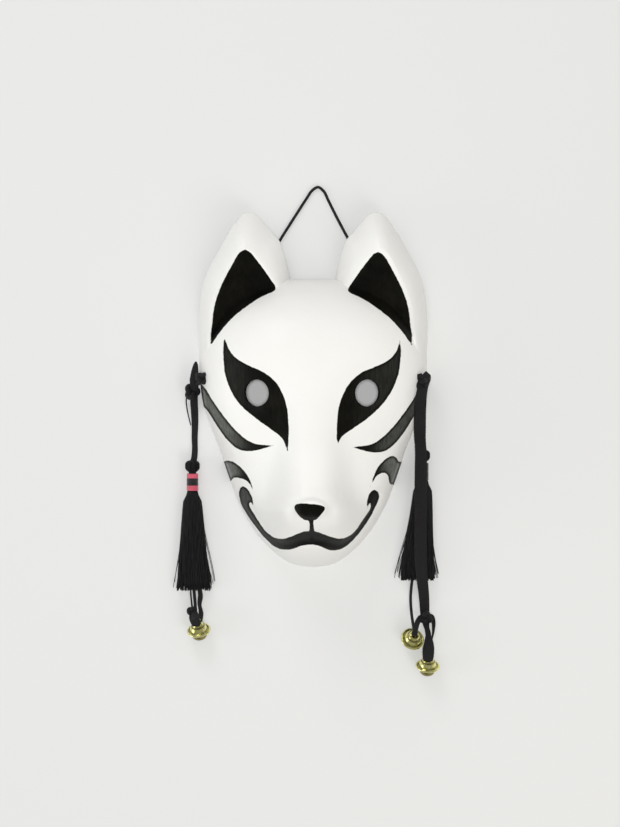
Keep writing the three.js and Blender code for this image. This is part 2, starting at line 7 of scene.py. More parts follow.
import bpy
import numpy as np
from mathutils import Matrix, Vector


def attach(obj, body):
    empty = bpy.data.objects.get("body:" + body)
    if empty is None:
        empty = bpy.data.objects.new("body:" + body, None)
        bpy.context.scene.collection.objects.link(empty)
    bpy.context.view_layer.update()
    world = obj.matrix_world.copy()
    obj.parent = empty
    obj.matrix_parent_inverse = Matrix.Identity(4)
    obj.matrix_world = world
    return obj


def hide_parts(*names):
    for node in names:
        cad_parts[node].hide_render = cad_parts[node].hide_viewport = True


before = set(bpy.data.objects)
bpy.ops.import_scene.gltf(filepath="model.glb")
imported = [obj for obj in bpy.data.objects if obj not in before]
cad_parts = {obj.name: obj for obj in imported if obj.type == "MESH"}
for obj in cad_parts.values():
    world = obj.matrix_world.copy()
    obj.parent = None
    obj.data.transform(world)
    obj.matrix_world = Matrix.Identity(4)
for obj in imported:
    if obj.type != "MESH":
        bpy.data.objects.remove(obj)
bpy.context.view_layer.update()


# Camera: straight above the mask and very slightly from its left. Its distance and the height of its
# picture, measured at the floor, are in metres.

CAMERA_DISTANCE = 1.8
PICTURE_HEIGHT = 0.5789
CAMERA_TURN = math.radians(0.7)
PICTURE_MIDDLE = Vector((-0.00196, -0.0163, 0))

bpy.context.scene.view_settings.view_transform = "Standard"
camera_data = bpy.data.cameras.new("camera")
camera = bpy.data.objects.new("camera", camera_data)
bpy.context.scene.collection.objects.link(camera)
bpy.context.scene.camera = camera
camera_data.lens = camera_data.sensor_width * CAMERA_DISTANCE / PICTURE_HEIGHT
camera.rotation_euler = (0, CAMERA_TURN, 0)
back = Vector((math.sin(CAMERA_TURN), 0, math.cos(CAMERA_TURN)))
camera.location = PICTURE_MIDDLE + CAMERA_DISTANCE * back


# Mask shell: one hollow moulded piece with a long muzzle and pricked ears, open behind and bare inside. The
# eye holes are cut down through it, and the holes for its cords through both its sides.

MM = 0.001
MASK_LENGTH = 247
HALF_LENGTH = MASK_LENGTH / 2
SHELL_WALL = 2.4
FACE_HEIGHT = 61
FACE_CENTRE_UP = 125
CROWN_FLATNESS = 2.3
CROWN_ROUNDNESS = 0.55
RIM_LIFT = 10
RIM_LIFT_FROM = 150
BELOW_RIM = 8
FACE_EDGE = [
    (0, 0), (15.5, 2.6), (29, 12), (40.5, 25), (50.5, 42), (56.2, 56), (61.5, 71), (64.9, 82), (69, 92),
    (73.5, 104), (77, 115), (79.2, 133), (78.8, 148), (74.5, 166), (62, 182.5), (42, 194.5), (20, 200),
    (0, 201),
]
NOSE_UP = 43.5
# The muzzle's ridge: up from the nose, how far it stands out of the face, and its half width.
MUZZLE = [
    (-49.5, 0, 24), (-40.5, 10, 26), (-35.5, 17, 28), (-29.5, 21, 30), (-23.5, 24, 31), (-18.5, 27, 31),
    (-13.5, 33, 30), (-7.5, 37, 29), (-1.5, 38.5, 28), (6.5, 34, 25), (16.5, 26, 22.5), (36.5, 15, 21),
    (56.5, 6, 19), (81.5, 0, 18), (166.5, 0, 18),
]
MUZZLE_SQUARENESS = 3
NOSE_HALF_WIDTH = 10
NOSE_HALF_LENGTH = 6.4
NOSE_RELIEF = 2.4
WING_OUT = 13.5
WING_DROP = 3
WING_DEPTH = 1.8
WING_HALF_WIDTH, WING_HALF_LENGTH = 3.5, 5.5
PHILTRUM_DEPTH = 1.3
PHILTRUM_HALF_WIDTH = 2
MOUTH_DEPTH = 2.2
MOUTH_HALF_WIDTH = 3
# The mouth's groove: out from the middle and up from the nose.
MOUTH_LINE = [
    (0, -23), (8, -23.2), (16, -25.9), (24, -24.5), (31, -17.5), (38, -8.5), (43.5, 0.5), (45.5, 7.5),
]
EYE_OUT, EYE_UP = 37.8, 121.2
EYE_HOLE_DIAMETER = 18.4
EYE_HOLE_TILT = math.radians(24)
SOCKET_RADIUS, SOCKET_DEPTH = 21, 5
EAR_OUT, EAR_UP = 51, 187
EAR_FACET_HEIGHT = 23
EAR_FACET_LEAN = 0.36
EAR_FACET_FROM = 73
EAR_DISH_DEPTH = 1.6
EAR_DISH_HALF_WIDTH, EAR_DISH_HALF_LENGTH = 20, 30
EAR_WALL_STRAIGHT = 0.4
EAR_EDGE = [
    (74, 131), (79.2, 134), (79.8, 150), (80, 170), (78.6, 187), (74.5, 204), (66, 220), (58, 234),
    (49.5, 245), (43.5, 247), (38, 244.5), (28.4, 233.6), (22.8, 226.6), (18.4, 212), (16, 200), (17, 188),
    (32, 172), (52, 150),
]
EAR_FACET = [
    (63, 152), (70.2, 152.5), (71, 160), (70, 169), (68.2, 182), (63.6, 195.6), (54.6, 213.2), (49.5, 219.6),
    (44.5, 220.6), (39, 216.6), (33.2, 209), (26.6, 199.4), (23.4, 193), (24, 185), (38, 174), (52, 161),
]
CORD_HOLE_DIAMETER, CORD_HOLE_LENGTH = 5, 20
CORD_HOLE_OUT, CORD_HOLE_UP, CORD_HOLE_HEIGHT = 78, 133, 8
# Rows and columns of the sheets, and how much closer they stand towards the edge; for the ears, their
# spokes, the facet's rings and the wall's rings.
FACE_GRID, HOLLOW_GRID = (280, 92), (110, 36)
ROW_CROWDING, COLUMN_CROWDING, WALL_CROWDING = 0.055, 0.1, 1.3
EAR_GRID, EAR_HOLLOW_GRID = (300, 16, 18), (90, 5, 7)
OUTSIDE, BARE = 0, 1


def smooth(t):
    c = np.clip(t, 0, 1)
    return c * c * (3 - 2 * c)


def angles(count):
    return np.linspace(0, 2 * np.pi, count, endpoint=False)


def circle(sides):
    return np.column_stack([np.cos(angles(sides)), np.sin(angles(sides))])


def curve_through(points, count):
    """Places along the smooth flat curve through points."""
    p = np.array(points, float)
    n = len(p) - 1
    t = np.linspace(0, n, count + 1)
    i = np.minimum(t.astype(int), n - 1)
    w = (t - i)[:, None]
    a, b, c, d = p[np.maximum(i - 1, 0)], p[i], p[i + 1], p[np.minimum(i + 2, n)]
    leave, arrive = (c - a) / 2, (d - b) / 2
    cubic = 2 * b - 2 * c + leave + arrive
    square = 3 * c - 3 * b - 2 * leave - arrive
    return cubic * w ** 3 + square * w ** 2 + leave * w + b


def along(rows, place, column):
    """Value of a column of (place, value, ...) rows at each place, eased between the rows."""
    rows = np.array(rows, float)
    at, value = rows[:, 0], rows[:, column]
    slope = np.concatenate([[(value[1] - value[0]) / (at[1] - at[0])],
                            (value[2:] - value[:-2]) / (at[2:] - at[:-2]),
                            [(value[-1] - value[-2]) / (at[-1] - at[-2])]])
    place = np.clip(place, at[0], at[-1])
    i = np.clip(np.searchsorted(at, place, side="right") - 1, 0, len(at) - 2)
    width = at[i + 1] - at[i]
    t = (place - at[i]) / width
    rise = (1 + 2 * t) * (1 - t) ** 2 * value[i] + t * t * (3 - 2 * t) * value[i + 1]
    return rise + width * (t * (1 - t) ** 2 * slope[i] - t * t * (1 - t) * slope[i + 1])


def distance_to_line(line, x, y):
    best = np.full(np.shape(x), np.inf)
    for (ax, ay), (bx, by) in zip(line[:-1], line[1:]):
        dx, dy = bx - ax, by - ay
        t = np.clip(((x - ax) * dx + (y - ay) * dy) / max(dx * dx + dy * dy, 1e-12), 0, 1)
        best = np.minimum(best, np.hypot(x - ax - t * dx, y - ay - t * dy))
    return best


def reach_of(outline, centre_out, centre_up):
    """A function from angles to the distance from a centre to an outline."""
    angle = np.arctan2(outline[:, 1] - centre_up, outline[:, 0] - centre_out)
    radius = np.hypot(outline[:, 0] - centre_out, outline[:, 1] - centre_up)
    order = np.argsort(angle)
    return lambda at: np.interp(at, angle[order], radius[order], period=2 * np.pi)


chin_turn, crown_turn = (-FACE_EDGE[1][0], FACE_EDGE[1][1]), (-FACE_EDGE[-2][0], FACE_EDGE[-2][1])
face_edge = curve_through([chin_turn, *FACE_EDGE, crown_turn], 70 * (len(FACE_EDGE) + 1))[70:-70]
whole_edge = np.vstack([face_edge, face_edge[::-1][1:-1] * [-1, 1]])
face_reach = reach_of(whole_edge, 0, FACE_CENTRE_UP)
ear_reach = reach_of(curve_through(EAR_EDGE + EAR_EDGE[:1], 1600)[:-1], EAR_OUT, EAR_UP)
facet_reach = reach_of(curve_through(EAR_FACET + EAR_FACET[:1], 1400)[:-1], EAR_OUT, EAR_UP)
mouth_line = curve_through([(out, up + NOSE_UP) for out, up in MOUTH_LINE], 60)


def rim_height(up):
    return RIM_LIFT * smooth((up - RIM_LIFT_FROM) / (MASK_LENGTH - RIM_LIFT_FROM))


def face_height(x, up, inset=0.0):
    """Height of the face over the rim's plane: a crown, the muzzle's ridge, and what is pressed in."""
    out = np.abs(x)
    radius = np.hypot(out, up - FACE_CENTRE_UP)
    share = np.minimum(1, radius / (face_reach(np.arctan2(up - FACE_CENTRE_UP, out)) - inset))
    low = rim_height(up) - inset
    z = low + (FACE_HEIGHT - inset - low) * (1 - share ** CROWN_FLATNESS) ** CROWN_ROUNDNESS
    from_nose = up - NOSE_UP - inset * smooth((NOSE_UP + 6 - up) / 12)
    flank = np.exp(-(out / (along(MUZZLE, from_nose, 2) - inset)) ** MUZZLE_SQUARENESS)
    z = z + along(MUZZLE, from_nose, 1) * flank * (1 - share ** 10) ** 0.6
    z = z - SOCKET_DEPTH * np.exp(-(np.hypot(out - EYE_OUT, up - EYE_UP) / SOCKET_RADIUS) ** 2)
    z = z - MOUTH_DEPTH * np.exp(-(distance_to_line(mouth_line, out, up) / MOUTH_HALF_WIDTH) ** 2)
    wing_out, wing_up = (out - WING_OUT) / WING_HALF_WIDTH, (up - NOSE_UP + WING_DROP) / WING_HALF_LENGTH
    z = z - WING_DEPTH * np.exp(-wing_out ** 2 - wing_up ** 2)
    mouth_up = NOSE_UP + MOUTH_LINE[0][1]
    cleft = smooth((up - mouth_up) / 3) * smooth((NOSE_UP - up) / 6)
    z = z - PHILTRUM_DEPTH * cleft * np.exp(-(out / PHILTRUM_HALF_WIDTH) ** 2)
    if inset == 0:
        pad = np.hypot(out / NOSE_HALF_WIDTH, (up - NOSE_UP) / NOSE_HALF_LENGTH)
        z = z + NOSE_RELIEF * smooth((1.25 - pad) / 0.45)
    return np.where(share >= 1, low, z)


def facet_height(out, up):
    """Height of an ear's dished front."""
    from_centre = np.hypot(out, up - FACE_CENTRE_UP)
    dish = np.hypot((out - EAR_OUT) / EAR_DISH_HALF_WIDTH, (up - EAR_UP) / EAR_DISH_HALF_LENGTH)
    lean = EAR_FACET_LEAN * (from_centre - EAR_FACET_FROM)
    return EAR_FACET_HEIGHT + lean - EAR_DISH_DEPTH * np.exp(-dish ** 2)


def grid_faces(rows, columns, joined_rows=False, joined_columns=False):
    """Faces between points counted row by row; joined rows or columns close on themselves."""
    row, column = np.meshgrid(np.arange(rows if joined_rows else rows - 1),
                              np.arange(columns if joined_columns else columns - 1), indexing="ij")
    next_row, next_column = (row + 1) % rows, (column + 1) % columns
    corners = (row, column), (row, next_column), (next_row, next_column), (next_row, column)
    return np.stack([r * columns + k for r, k in corners], axis=-1).reshape(-1, 4).tolist()


def capped_faces(rings, sides):
    """Faces of a tube of rings, closed at both ends."""
    ends = [list(range(sides))[::-1], list(range((rings - 1) * sides, rings * sides))]
    return grid_faces(rings, sides, joined_columns=True) + ends


def add_object(name, points, faces, materials):
    mesh = bpy.data.meshes.new(name)
    mesh.from_pydata([tuple(p) for p in points], [], faces)
    mesh.update()
    for material in materials:
        mesh.materials.append(material)
    mesh.shade_smooth()
    item = bpy.data.objects.new(name, mesh)
    bpy.context.scene.collection.objects.link(item)
    return item


def set_faces(item, material_index):
    item.data.polygons.foreach_set("material_index", [material_index] * len(item.data.polygons))


def closed_sheet(name, points, faces, border, bottom, material_index):
    """A sheet stood on a flat bottom, as a solid."""
    first, count = len(points), len(border)
    low = points[border].copy()
    low[:, 2] = bottom
    walls = [[k, first + i, first + (i + 1) % count, border[(i + 1) % count]] for i, k in enumerate(border)]
    floor_face = [first + i for i in range(count)][::-1]
    item = add_object(name, np.vstack([points, low]) * MM, faces + walls + [floor_face], [])
    set_faces(item, material_index)
    return item


def face_sheet(name, inset, rows, columns, bottom, material_index):
    """The face without its ears, or its hollow."""
    u = np.linspace(0, 1, rows + 1)[1:-1]
    t = (u - ROW_CROWDING * np.sin(2 * np.pi * u)) * (len(face_edge) - 1)
    at = np.column_stack([np.interp(t, np.arange(len(face_edge)), face_edge[:, k]) for k in range(2)])
    shrink = 1 - inset / np.hypot(at[:, 0], at[:, 1] - FACE_CENTRE_UP)
    s = np.linspace(-1, 1, 2 * columns + 1)
    s = s - COLUMN_CROWDING * np.sin(2 * np.pi * s)
    x = (at[:, 0] * shrink)[:, None] * s[None]
    up = np.repeat((FACE_CENTRE_UP + (at[:, 1] - FACE_CENTRE_UP) * shrink)[:, None], len(s), axis=1)
    z = face_height(x, up, inset)
    z[:, [0, -1]] = rim_height(up[:, [0, -1]]) - inset
    points = np.stack([x, up - HALF_LENGTH, z], axis=-1).reshape(-1, 3)
    n, m = x.shape
    border = [*range(m - 1), *range(m - 1, (n - 1) * m, m), *range(n * m - 1, (n - 1) * m, -1),
              *range((n - 1) * m, 0, -m)]
    return closed_sheet(name, points, grid_faces(n, m), border, bottom, material_index)


def ear_sheet(name, side, inset, spokes, inner_rings, wall_rings, bottom, material_index):
    """An ear, or its hollow: the dished facet, and the wall that falls from it to the rim."""
    angle = angles(spokes)[None]
    inner = facet_reach(angle) - inset / 2
    outer = ear_reach(angle) - inset
    share = np.concatenate([np.linspace(0, 1, inner_rings + 1)[1:],
                            2 - np.linspace(1, 0, wall_rings + 1)[1:] ** WALL_CROWDING])[:, None]
    distance = np.where(share <= 1, share * inner, inner + (share - 1) * (outer - inner))
    out, up = EAR_OUT + distance * np.cos(angle), EAR_UP + distance * np.sin(angle)
    facet_out, facet_up = EAR_OUT + inner * np.cos(angle), EAR_UP + inner * np.sin(angle)
    low = rim_height(up) - inset
    t = np.clip(2 - share, 0, 1)
    wall = EAR_WALL_STRAIGHT * t + (1 - EAR_WALL_STRAIGHT) * (1 - (1 - t) ** 2)
    edge = low + (facet_height(facet_out, facet_up) - inset - low) * wall
    z = np.where(share <= 1, facet_height(out, up) - inset, edge)
    points = np.vstack([[[side * EAR_OUT, EAR_UP - HALF_LENGTH, facet_height(EAR_OUT, EAR_UP) - inset]],
                        np.stack([side * out, up - HALF_LENGTH, z], axis=-1).reshape(-1, 3)])
    rings = inner_rings + wall_rings
    faces = [[1 + a, 1 + d, 1 + c, 1 + b] for a, b, c, d in grid_faces(rings, spokes, joined_columns=True)]
    faces += [[0, 1 + k, 1 + (k + 1) % spokes] for k in range(spokes)]
    border = [1 + (rings - 1) * spokes + k for k in range(spokes)]
    if side < 0:
        faces = [face[::-1] for face in faces]
        border = border[::-1]
    return closed_sheet(name, points, faces, border, bottom, material_index)


def combine(base, tool, operation):
    """Joins or cuts one solid with another, keeping each face's material."""
    modifier = base.modifiers.new(operation, "BOOLEAN")
    modifier.operation = operation
    modifier.solver = "MANIFOLD"
    modifier.material_mode = "INDEX"
    modifier.object = tool
    evaluated = base.evaluated_get(bpy.context.evaluated_depsgraph_get())
    mesh = bpy.data.meshes.new_from_object(evaluated)
    base.modifiers.clear()
    old = base.data
    base.data = mesh
    bpy.data.meshes.remove(old)
    bpy.data.objects.remove(tool)


def rod(name, diameter, length, sides, turn, place, material_index):
    """A cylinder about Z, turned and then moved to a place in millimetres."""
    ring = circle(sides) * diameter / 2
    points = np.vstack([np.column_stack([ring, np.full(sides, z)]) for z in (-length / 2, length / 2)])
    points = (points @ np.array(turn.to_3x3()).T + place) * MM
    item = add_object(name, points, capped_faces(2, sides), [])
    set_faces(item, material_index)
    return item


def under_rim():
    """Everything below the rim, as a slab whose top rises under the ears."""
    depth, half_width = 2 * BELOW_RIM, 120
    ups = np.linspace(RIM_LIFT_FROM, MASK_LENGTH + depth, 60)
    side = [(-depth, -depth), (MASK_LENGTH + depth, -depth)]
    side += [(up, rim_height(up)) for up in ups[::-1]] + [(-depth, 0)]
    points = [(x, up - HALF_LENGTH, z) for x in (-half_width, half_width) for up, z in side]
    return add_object("under_rim", np.array(points, float) * MM, capped_faces(2, len(side)), [])


deeper = -BELOW_RIM - SHELL_WALL
shell = face_sheet("mask", 0, *FACE_GRID, -BELOW_RIM, OUTSIDE)
for side in (-1, 1):
    combine(shell, ear_sheet("ear", side, 0, *EAR_GRID, -BELOW_RIM, OUTSIDE), "UNION")
hollow = face_sheet("hollow", SHELL_WALL, *HOLLOW_GRID, deeper, BARE)
for side in (-1, 1):
    combine(hollow, ear_sheet("ear_hollow", side, SHELL_WALL, *EAR_HOLLOW_GRID, deeper, BARE), "UNION")
combine(shell, hollow, "DIFFERENCE")
combine(shell, under_rim(), "DIFFERENCE")
eye_height = float(face_height(EYE_OUT, EYE_UP))
edge_out = float(face_reach(math.atan2(CORD_HOLE_UP - FACE_CENTRE_UP, CORD_HOLE_OUT)))
side_turn = Matrix.Rotation(math.pi / 2, 4, "Y")
for side in (-1, 1):
    eye_turn = Matrix.Rotation(side * EYE_HOLE_TILT, 4, "Y")
    eye_place = (side * EYE_OUT, EYE_UP - HALF_LENGTH, eye_height)
    eye_hole = rod("eye_hole", EYE_HOLE_DIAMETER, FACE_HEIGHT, 96, eye_turn, eye_place, BARE)
    combine(shell, eye_hole, "DIFFERENCE")
    hole_place = (side * edge_out, CORD_HOLE_UP - HALF_LENGTH, CORD_HOLE_HEIGHT)
    cord_hole = rod("cord_hole", CORD_HOLE_DIAMETER, CORD_HOLE_LENGTH, 32, side_turn, hole_place, BARE)
    combine(shell, cord_hole, "DIFFERENCE")


# Markings and lacquer: gloss white outside, with the ears, eyes, cheeks, nose and mouth brushed on by hand
# in satin black. The inside is left bare. The shapes are given as they are seen from the camera's place,
# measured at the rim. The ears and cheek bands are given once for both sides and differ a little in place.

SIGHT_OUT, SIGHT_UP = 20.0, 107.2
EAR_PAINT = [
    (46.7, 220.9), (43.6, 219.4), (41.5, 216.9), (35.9, 209.7), (29.2, 200.2), (26.2, 195.4), (27.4, 192.9),
    (36.2, 188.8), (45.7, 182.6), (55.3, 175), (63.6, 166), (69.9, 157.2), (69.9, 157.2), (70.1, 163),
    (69.3, 168.2), (67.5, 181.8), (63, 195.7), (54, 213), (50.2, 219),
]
LEFT_EYE_PAINT = [
    (61.5, 159.6), (61.5, 159.6), (61.9, 152), (61.7, 146), (60.6, 135), (56.4, 123), (49.5, 113),
    (39.8, 104.6), (31.5, 98.5), (24, 93.1), (20.2, 89.2), (17.4, 82.3), (17.4, 82.3), (16.7, 91),
    (16.9, 101), (18, 111.6), (21.4, 121.8), (26.7, 130), (34.8, 136.2), (43.4, 140), (52.2, 144.8),
    (58.2, 151.4),
]
RIGHT_EYE_PAINT = [
    (61.4, 158.2), (61.4, 158.2), (62.2, 151), (61.9, 146), (60.5, 135.2), (55.9, 123.4), (48.9, 113.4),
    (39.9, 104.7), (31.5, 98.6), (24.4, 93.8), (20.4, 90.4), (17.8, 85.2), (17.8, 85.2), (17.2, 92),
    (17.5, 101), (18.6, 111.4), (22.2, 121.6), (27.2, 129.6), (35, 136), (43.6, 139.7), (52.4, 143.9),
    (58.4, 149.8),
]
CHEEK_BAND_PAINT = [
    (80.5, 130), (74.7, 124.6), (69, 115.4), (62, 105.5), (54, 95.9), (45.8, 88.7), (38.4, 85.4), (28, 84.4),
    (28, 84.4), (37, 81.8), (44, 80.8), (51.5, 82.4), (59, 88.8), (66, 98.4), (71, 106.5), (74.5, 111),
    (80, 116),
]
LEFT_CRESCENT_PAINT = [
    (-66.5, 71.4), (-62.9, 72.9), (-60.1, 74), (-55.9, 73.1), (-51, 69.8), (-46.8, 64.9), (-44, 60),
    (-42.3, 54.8), (-42.3, 54.8), (-44.7, 58.8), (-48.2, 61.3), (-52.4, 62.4), (-55.5, 62.2), (-57.3, 60.3),
    (-59, 59.3), (-63.5, 58.6),
]
RIGHT_CRESCENT_PAINT = [
    (65, 73.6), (60.3, 73.6), (58.6, 76.1), (56.1, 77.5), (53.3, 76.8), (50.5, 75), (47, 71.5), (44.2, 67),
    (42.1, 61.7), (40.2, 55.8), (40.2, 55.8), (42.8, 60.7), (44.9, 63.7), (47.7, 65.3), (50.5, 65.6),
    (52.6, 63.5), (53.7, 58.6), (55.4, 57.5), (62, 57.5),
]
NOSE_AND_MOUTH_PAINT = [
    (-48.9, 56.4), (-50.8, 54.7), (-51.7, 51.6), (-51.1, 47.4), (-49.6, 42.8), (-47.5, 39), (-44, 33.4),
    (-39.8, 27.8), (-35.6, 22.5), (-31.4, 18), (-27.2, 14.5), (-23, 12.6), (-18.1, 12.1), (-13.9, 12.7),
    (-9, 14.5), (-4.8, 15.4), (-0.6, 15.6), (3.6, 15), (7.8, 13.3), (12, 11.8), (16.2, 11.7), (20.4, 12.9),
    (24.6, 15.7), (28.8, 19.7), (33, 24.6), (37.2, 30.6), (40.7, 36.2), (43.5, 41.8), (45.6, 46.7),
    (46.3, 49.8), (45.3, 52.1), (43.2, 53.7), (41.1, 52.8), (39.3, 50.5), (38.4, 47.4), (37.9, 44.2),
    (38.2, 41.4), (38.2, 41.4), (39.6, 44.9), (40.5, 44), (40.3, 40.7), (37.9, 36.9), (34.4, 32),
    (30.9, 26.7), (27.8, 23.2), (23.9, 20.8), (19, 19.6), (14.1, 20.4), (9.2, 22), (4.3, 23.9), (1.1, 25.1),
    (0.4, 28.5), (0.3, 32.1), (2.2, 33.2), (4.7, 35.5), (7.1, 38.4), (8.3, 40.8), (7.3, 42.4), (3.6, 43.3),
    (-2, 43.9), (-6.9, 44.2), (-11.1, 43.8), (-12.7, 42.5), (-12.6, 40.4), (-11.1, 37.6), (-8.6, 34.8),
    (-5.8, 32.9), (-2.8, 32.1), (-2.2, 28.5), (-2.7, 25.1), (-6.2, 24.6), (-11.1, 22.8), (-16, 20.8),
    (-20.9, 19.5), (-25.8, 19.9), (-30, 22.2), (-33.5, 25.3), (-37, 29.9), (-40.1, 34.9), (-42.9, 39.3),
    (-44.7, 42.8), (-44.4, 44.9), (-43.3, 45.2), (-42, 43.2), (-42, 43.2), (-42.4, 47.4), (-44, 51.2),
    (-46.1, 54.4),
]
# Each brushed shape: its outline, the side it is on (-1 turns it over), how far it is moved out and up, how
# far it has spread, and then its painted grey sheen: how far out it begins and is full, and how strong it
# is on the left and on the right.
PAINTED = [
    (EAR_PAINT, -1, 0.7, 0.35, 0.7, 0, 1, 0, 0),
    (EAR_PAINT, 1, -1.05, -1.05, 0.35, 0, 1, 0, 0),
    (LEFT_EYE_PAINT, -1, 0.5, 0, 0.35, 30, 60, 0.12, 0),
    (RIGHT_EYE_PAINT, 1, -0.5, 0, 0, 20, 55, 0, 0.16),
    (CHEEK_BAND_PAINT, -1, 0.9, 0.2, 0.2, 40, 66, 1.5, 0),
    (CHEEK_BAND_PAINT, 1, 0, -0.7, 0.2, 38, 54, 0, 0.6),
    (LEFT_CRESCENT_PAINT, 1, 0, 0, 0.2, 47, 58, 1.8, 0),
    (RIGHT_CRESCENT_PAINT, 1, 0, 0, 0, 44, 57, 0, 1.6),
    (NOSE_AND_MOUTH_PAINT, 1, 0.1, -0.1, 0.15, 18, 40, 0.75, 0.05),
]
NO_PAINT = 99.0
PAINT_MARGIN = 8
# The painted sheen begins this far inside an outline, and is full this much farther in.
SHEEN_INSIDE, SHEEN_INSIDE_FULL = 0.5, 1.7
# On the side wall it begins this high over the rim, and is full this much higher.
# One band of it, a painted highlight along the bend, is paler.
SHEEN_HEIGHT, SHEEN_HEIGHT_FULL = 9, 3
HIGHLIGHT_BAND, HIGHLIGHT_BAND_HEIGHT, HIGHLIGHT_BAND_HALF_WIDTH = 0.8, 14, 2


def signed_distance(outline, x, y):
    """Distance to a closed outline, less than nothing inside it."""
    loop = np.vstack([outline, outline[:1]])
    inside = np.zeros(np.shape(x), bool)
    for (ax, ay), (bx, by) in zip(loop[:-1], loop[1:]):
        crosses = (ay > y) != (by > y)
        with np.errstate(divide="ignore", invalid="ignore"):
            inside ^= crosses & (x < ax + (y - ay) * (bx - ax) / (by - ay))
    return np.where(inside, -1, 1) * distance_to_line(loop, x, y)


def painting(points):
    """Distance from each point of the mask to the nearest painted shape, and how much painted sheen it has
    there.
    """
    sight_height = CAMERA_DISTANCE / MM
    height = points[:, 2]
    nearer = sight_height / (sight_height - height)
    x = SIGHT_OUT + (points[:, 0] - SIGHT_OUT) * nearer
    up = SIGHT_UP + (points[:, 1] + HALF_LENGTH - SIGHT_UP) * nearer
    # Painted sheen: it grows with height up the side wall, and a painted highlight band runs along the bend.
    band = HIGHLIGHT_BAND * np.exp(-((height - HIGHLIGHT_BAND_HEIGHT) / HIGHLIGHT_BAND_HALF_WIDTH) ** 2)
    on_top = smooth((height - SHEEN_HEIGHT) / SHEEN_HEIGHT_FULL) + band
    best, sheen_share = np.full(len(points), NO_PAINT), np.zeros(len(points))
    for shape, side, more_out, more_up, spread, sheen_from, sheen_full, sheen_left, sheen_right in PAINTED:
        outline = curve_through(shape + shape[:1], 10 * len(shape))[:-1]
        outline = (outline + [more_out, more_up]) * [side, 1]
        low, high = outline.min(axis=0) - PAINT_MARGIN, outline.max(axis=0) + PAINT_MARGIN
        near = (x > low[0]) & (x < high[0]) & (up > low[1]) & (up < high[1])
        distance = np.full(len(points), NO_PAINT)
        distance[near] = signed_distance(outline, x[near], up[near]) - spread
        inside = smooth((-distance - SHEEN_INSIDE) / SHEEN_INSIDE_FULL)
        sheen_here = smooth((np.abs(x) - sheen_from) / (sheen_full - sheen_from)) * inside * on_top
        sheen_share = np.where(distance < best, np.where(x < 0, sheen_left, sheen_right) * sheen_here, sheen_share)
        best = np.minimum(best, distance)
    return best, sheen_share


def store(item, name, values):
    item.data.attributes.new(name, "FLOAT", "POINT").data.foreach_set("value", np.asarray(values, "f"))


shell_points = np.empty(3 * len(shell.data.vertices))
shell.data.vertices.foreach_get("co", shell_points)
shell_paint, shell_painted_sheen = painting(shell_points.reshape(-1, 3) / MM)
store(shell, "paint", shell_paint)
store(shell, "painted_sheen", shell_painted_sheen)


def new_material(name):
    material = bpy.data.materials.new(name)
    material.use_nodes = True
    tree = material.node_tree
    return material, tree, tree.nodes["Principled BSDF"]


def add_node(tree, kind, settings=None, **inputs):
    """A node with its settings and input values, given by name or as i and a number; a socket is linked."""
    node = tree.nodes.new(kind)
    for key, value in (settings or {}).items():
        setattr(node, key, value)
    for key, value in inputs.items():
        numbered = key[0] == "i" and key[1:].isdigit()
        socket = node.inputs[int(key[1:]) if numbered else key.replace("_", " ")]
        if isinstance(value, bpy.types.NodeSocket):
            tree.links.new(value, socket)
        else:
            socket.default_value = value
    return node


def ramp(tree, value, stops):
    """A colour ramp of [(place, colour), ...] driven by a value."""
    node = add_node(tree, "ShaderNodeValToRGB", i0=value)
    elements = node.color_ramp.elements
    while len(elements) < len(stops):
        elements.new(0.5)
    for element, (place, colour) in zip(elements, stops):
        element.position = place
        element.color = (*colour, 1)
    return node.outputs[0]


def mm_coordinates(tree):
    """Object coordinates counted in millimetres."""
    place = add_node(tree, "ShaderNodeTexCoord").outputs["Object"]
    return add_node(tree, "ShaderNodeVectorMath", {"operation": "SCALE"}, i0=place, i3=1 / MM).outputs[0]


def noise(tree, place, scale, detail, roughness=0.5):
    """Cloudy noise with so many clouds to a millimetre."""
    return add_node(tree, "ShaderNodeTexNoise", i0=place, i2=scale, i3=detail, i4=roughness).outputs[0]


def attribute(tree, name):
    return add_node(tree, "ShaderNodeAttribute", {"attribute_name": name}).outputs["Fac"]


def calculate(tree, operation, *values):
    inputs = {f"i{k}": value for k, value in enumerate(values)}
    return add_node(tree, "ShaderNodeMath", {"operation": operation}, **inputs).outputs[0]


def between(tree, value, low, high, at_low, at_high):
    """A value that goes from at_low to at_high while another goes from low to high."""
    return add_node(tree, "ShaderNodeMapRange", i0=value, i1=low, i2=high, i3=at_low, i4=at_high).outputs[0]


def blend(tree, share, first, second, **settings):
    """One colour going over into another as the share grows."""
    settings = {"data_type": "RGBA", **settings}
    return add_node(tree, "ShaderNodeMix", settings, Factor=share, i6=first, i7=second).outputs[2]


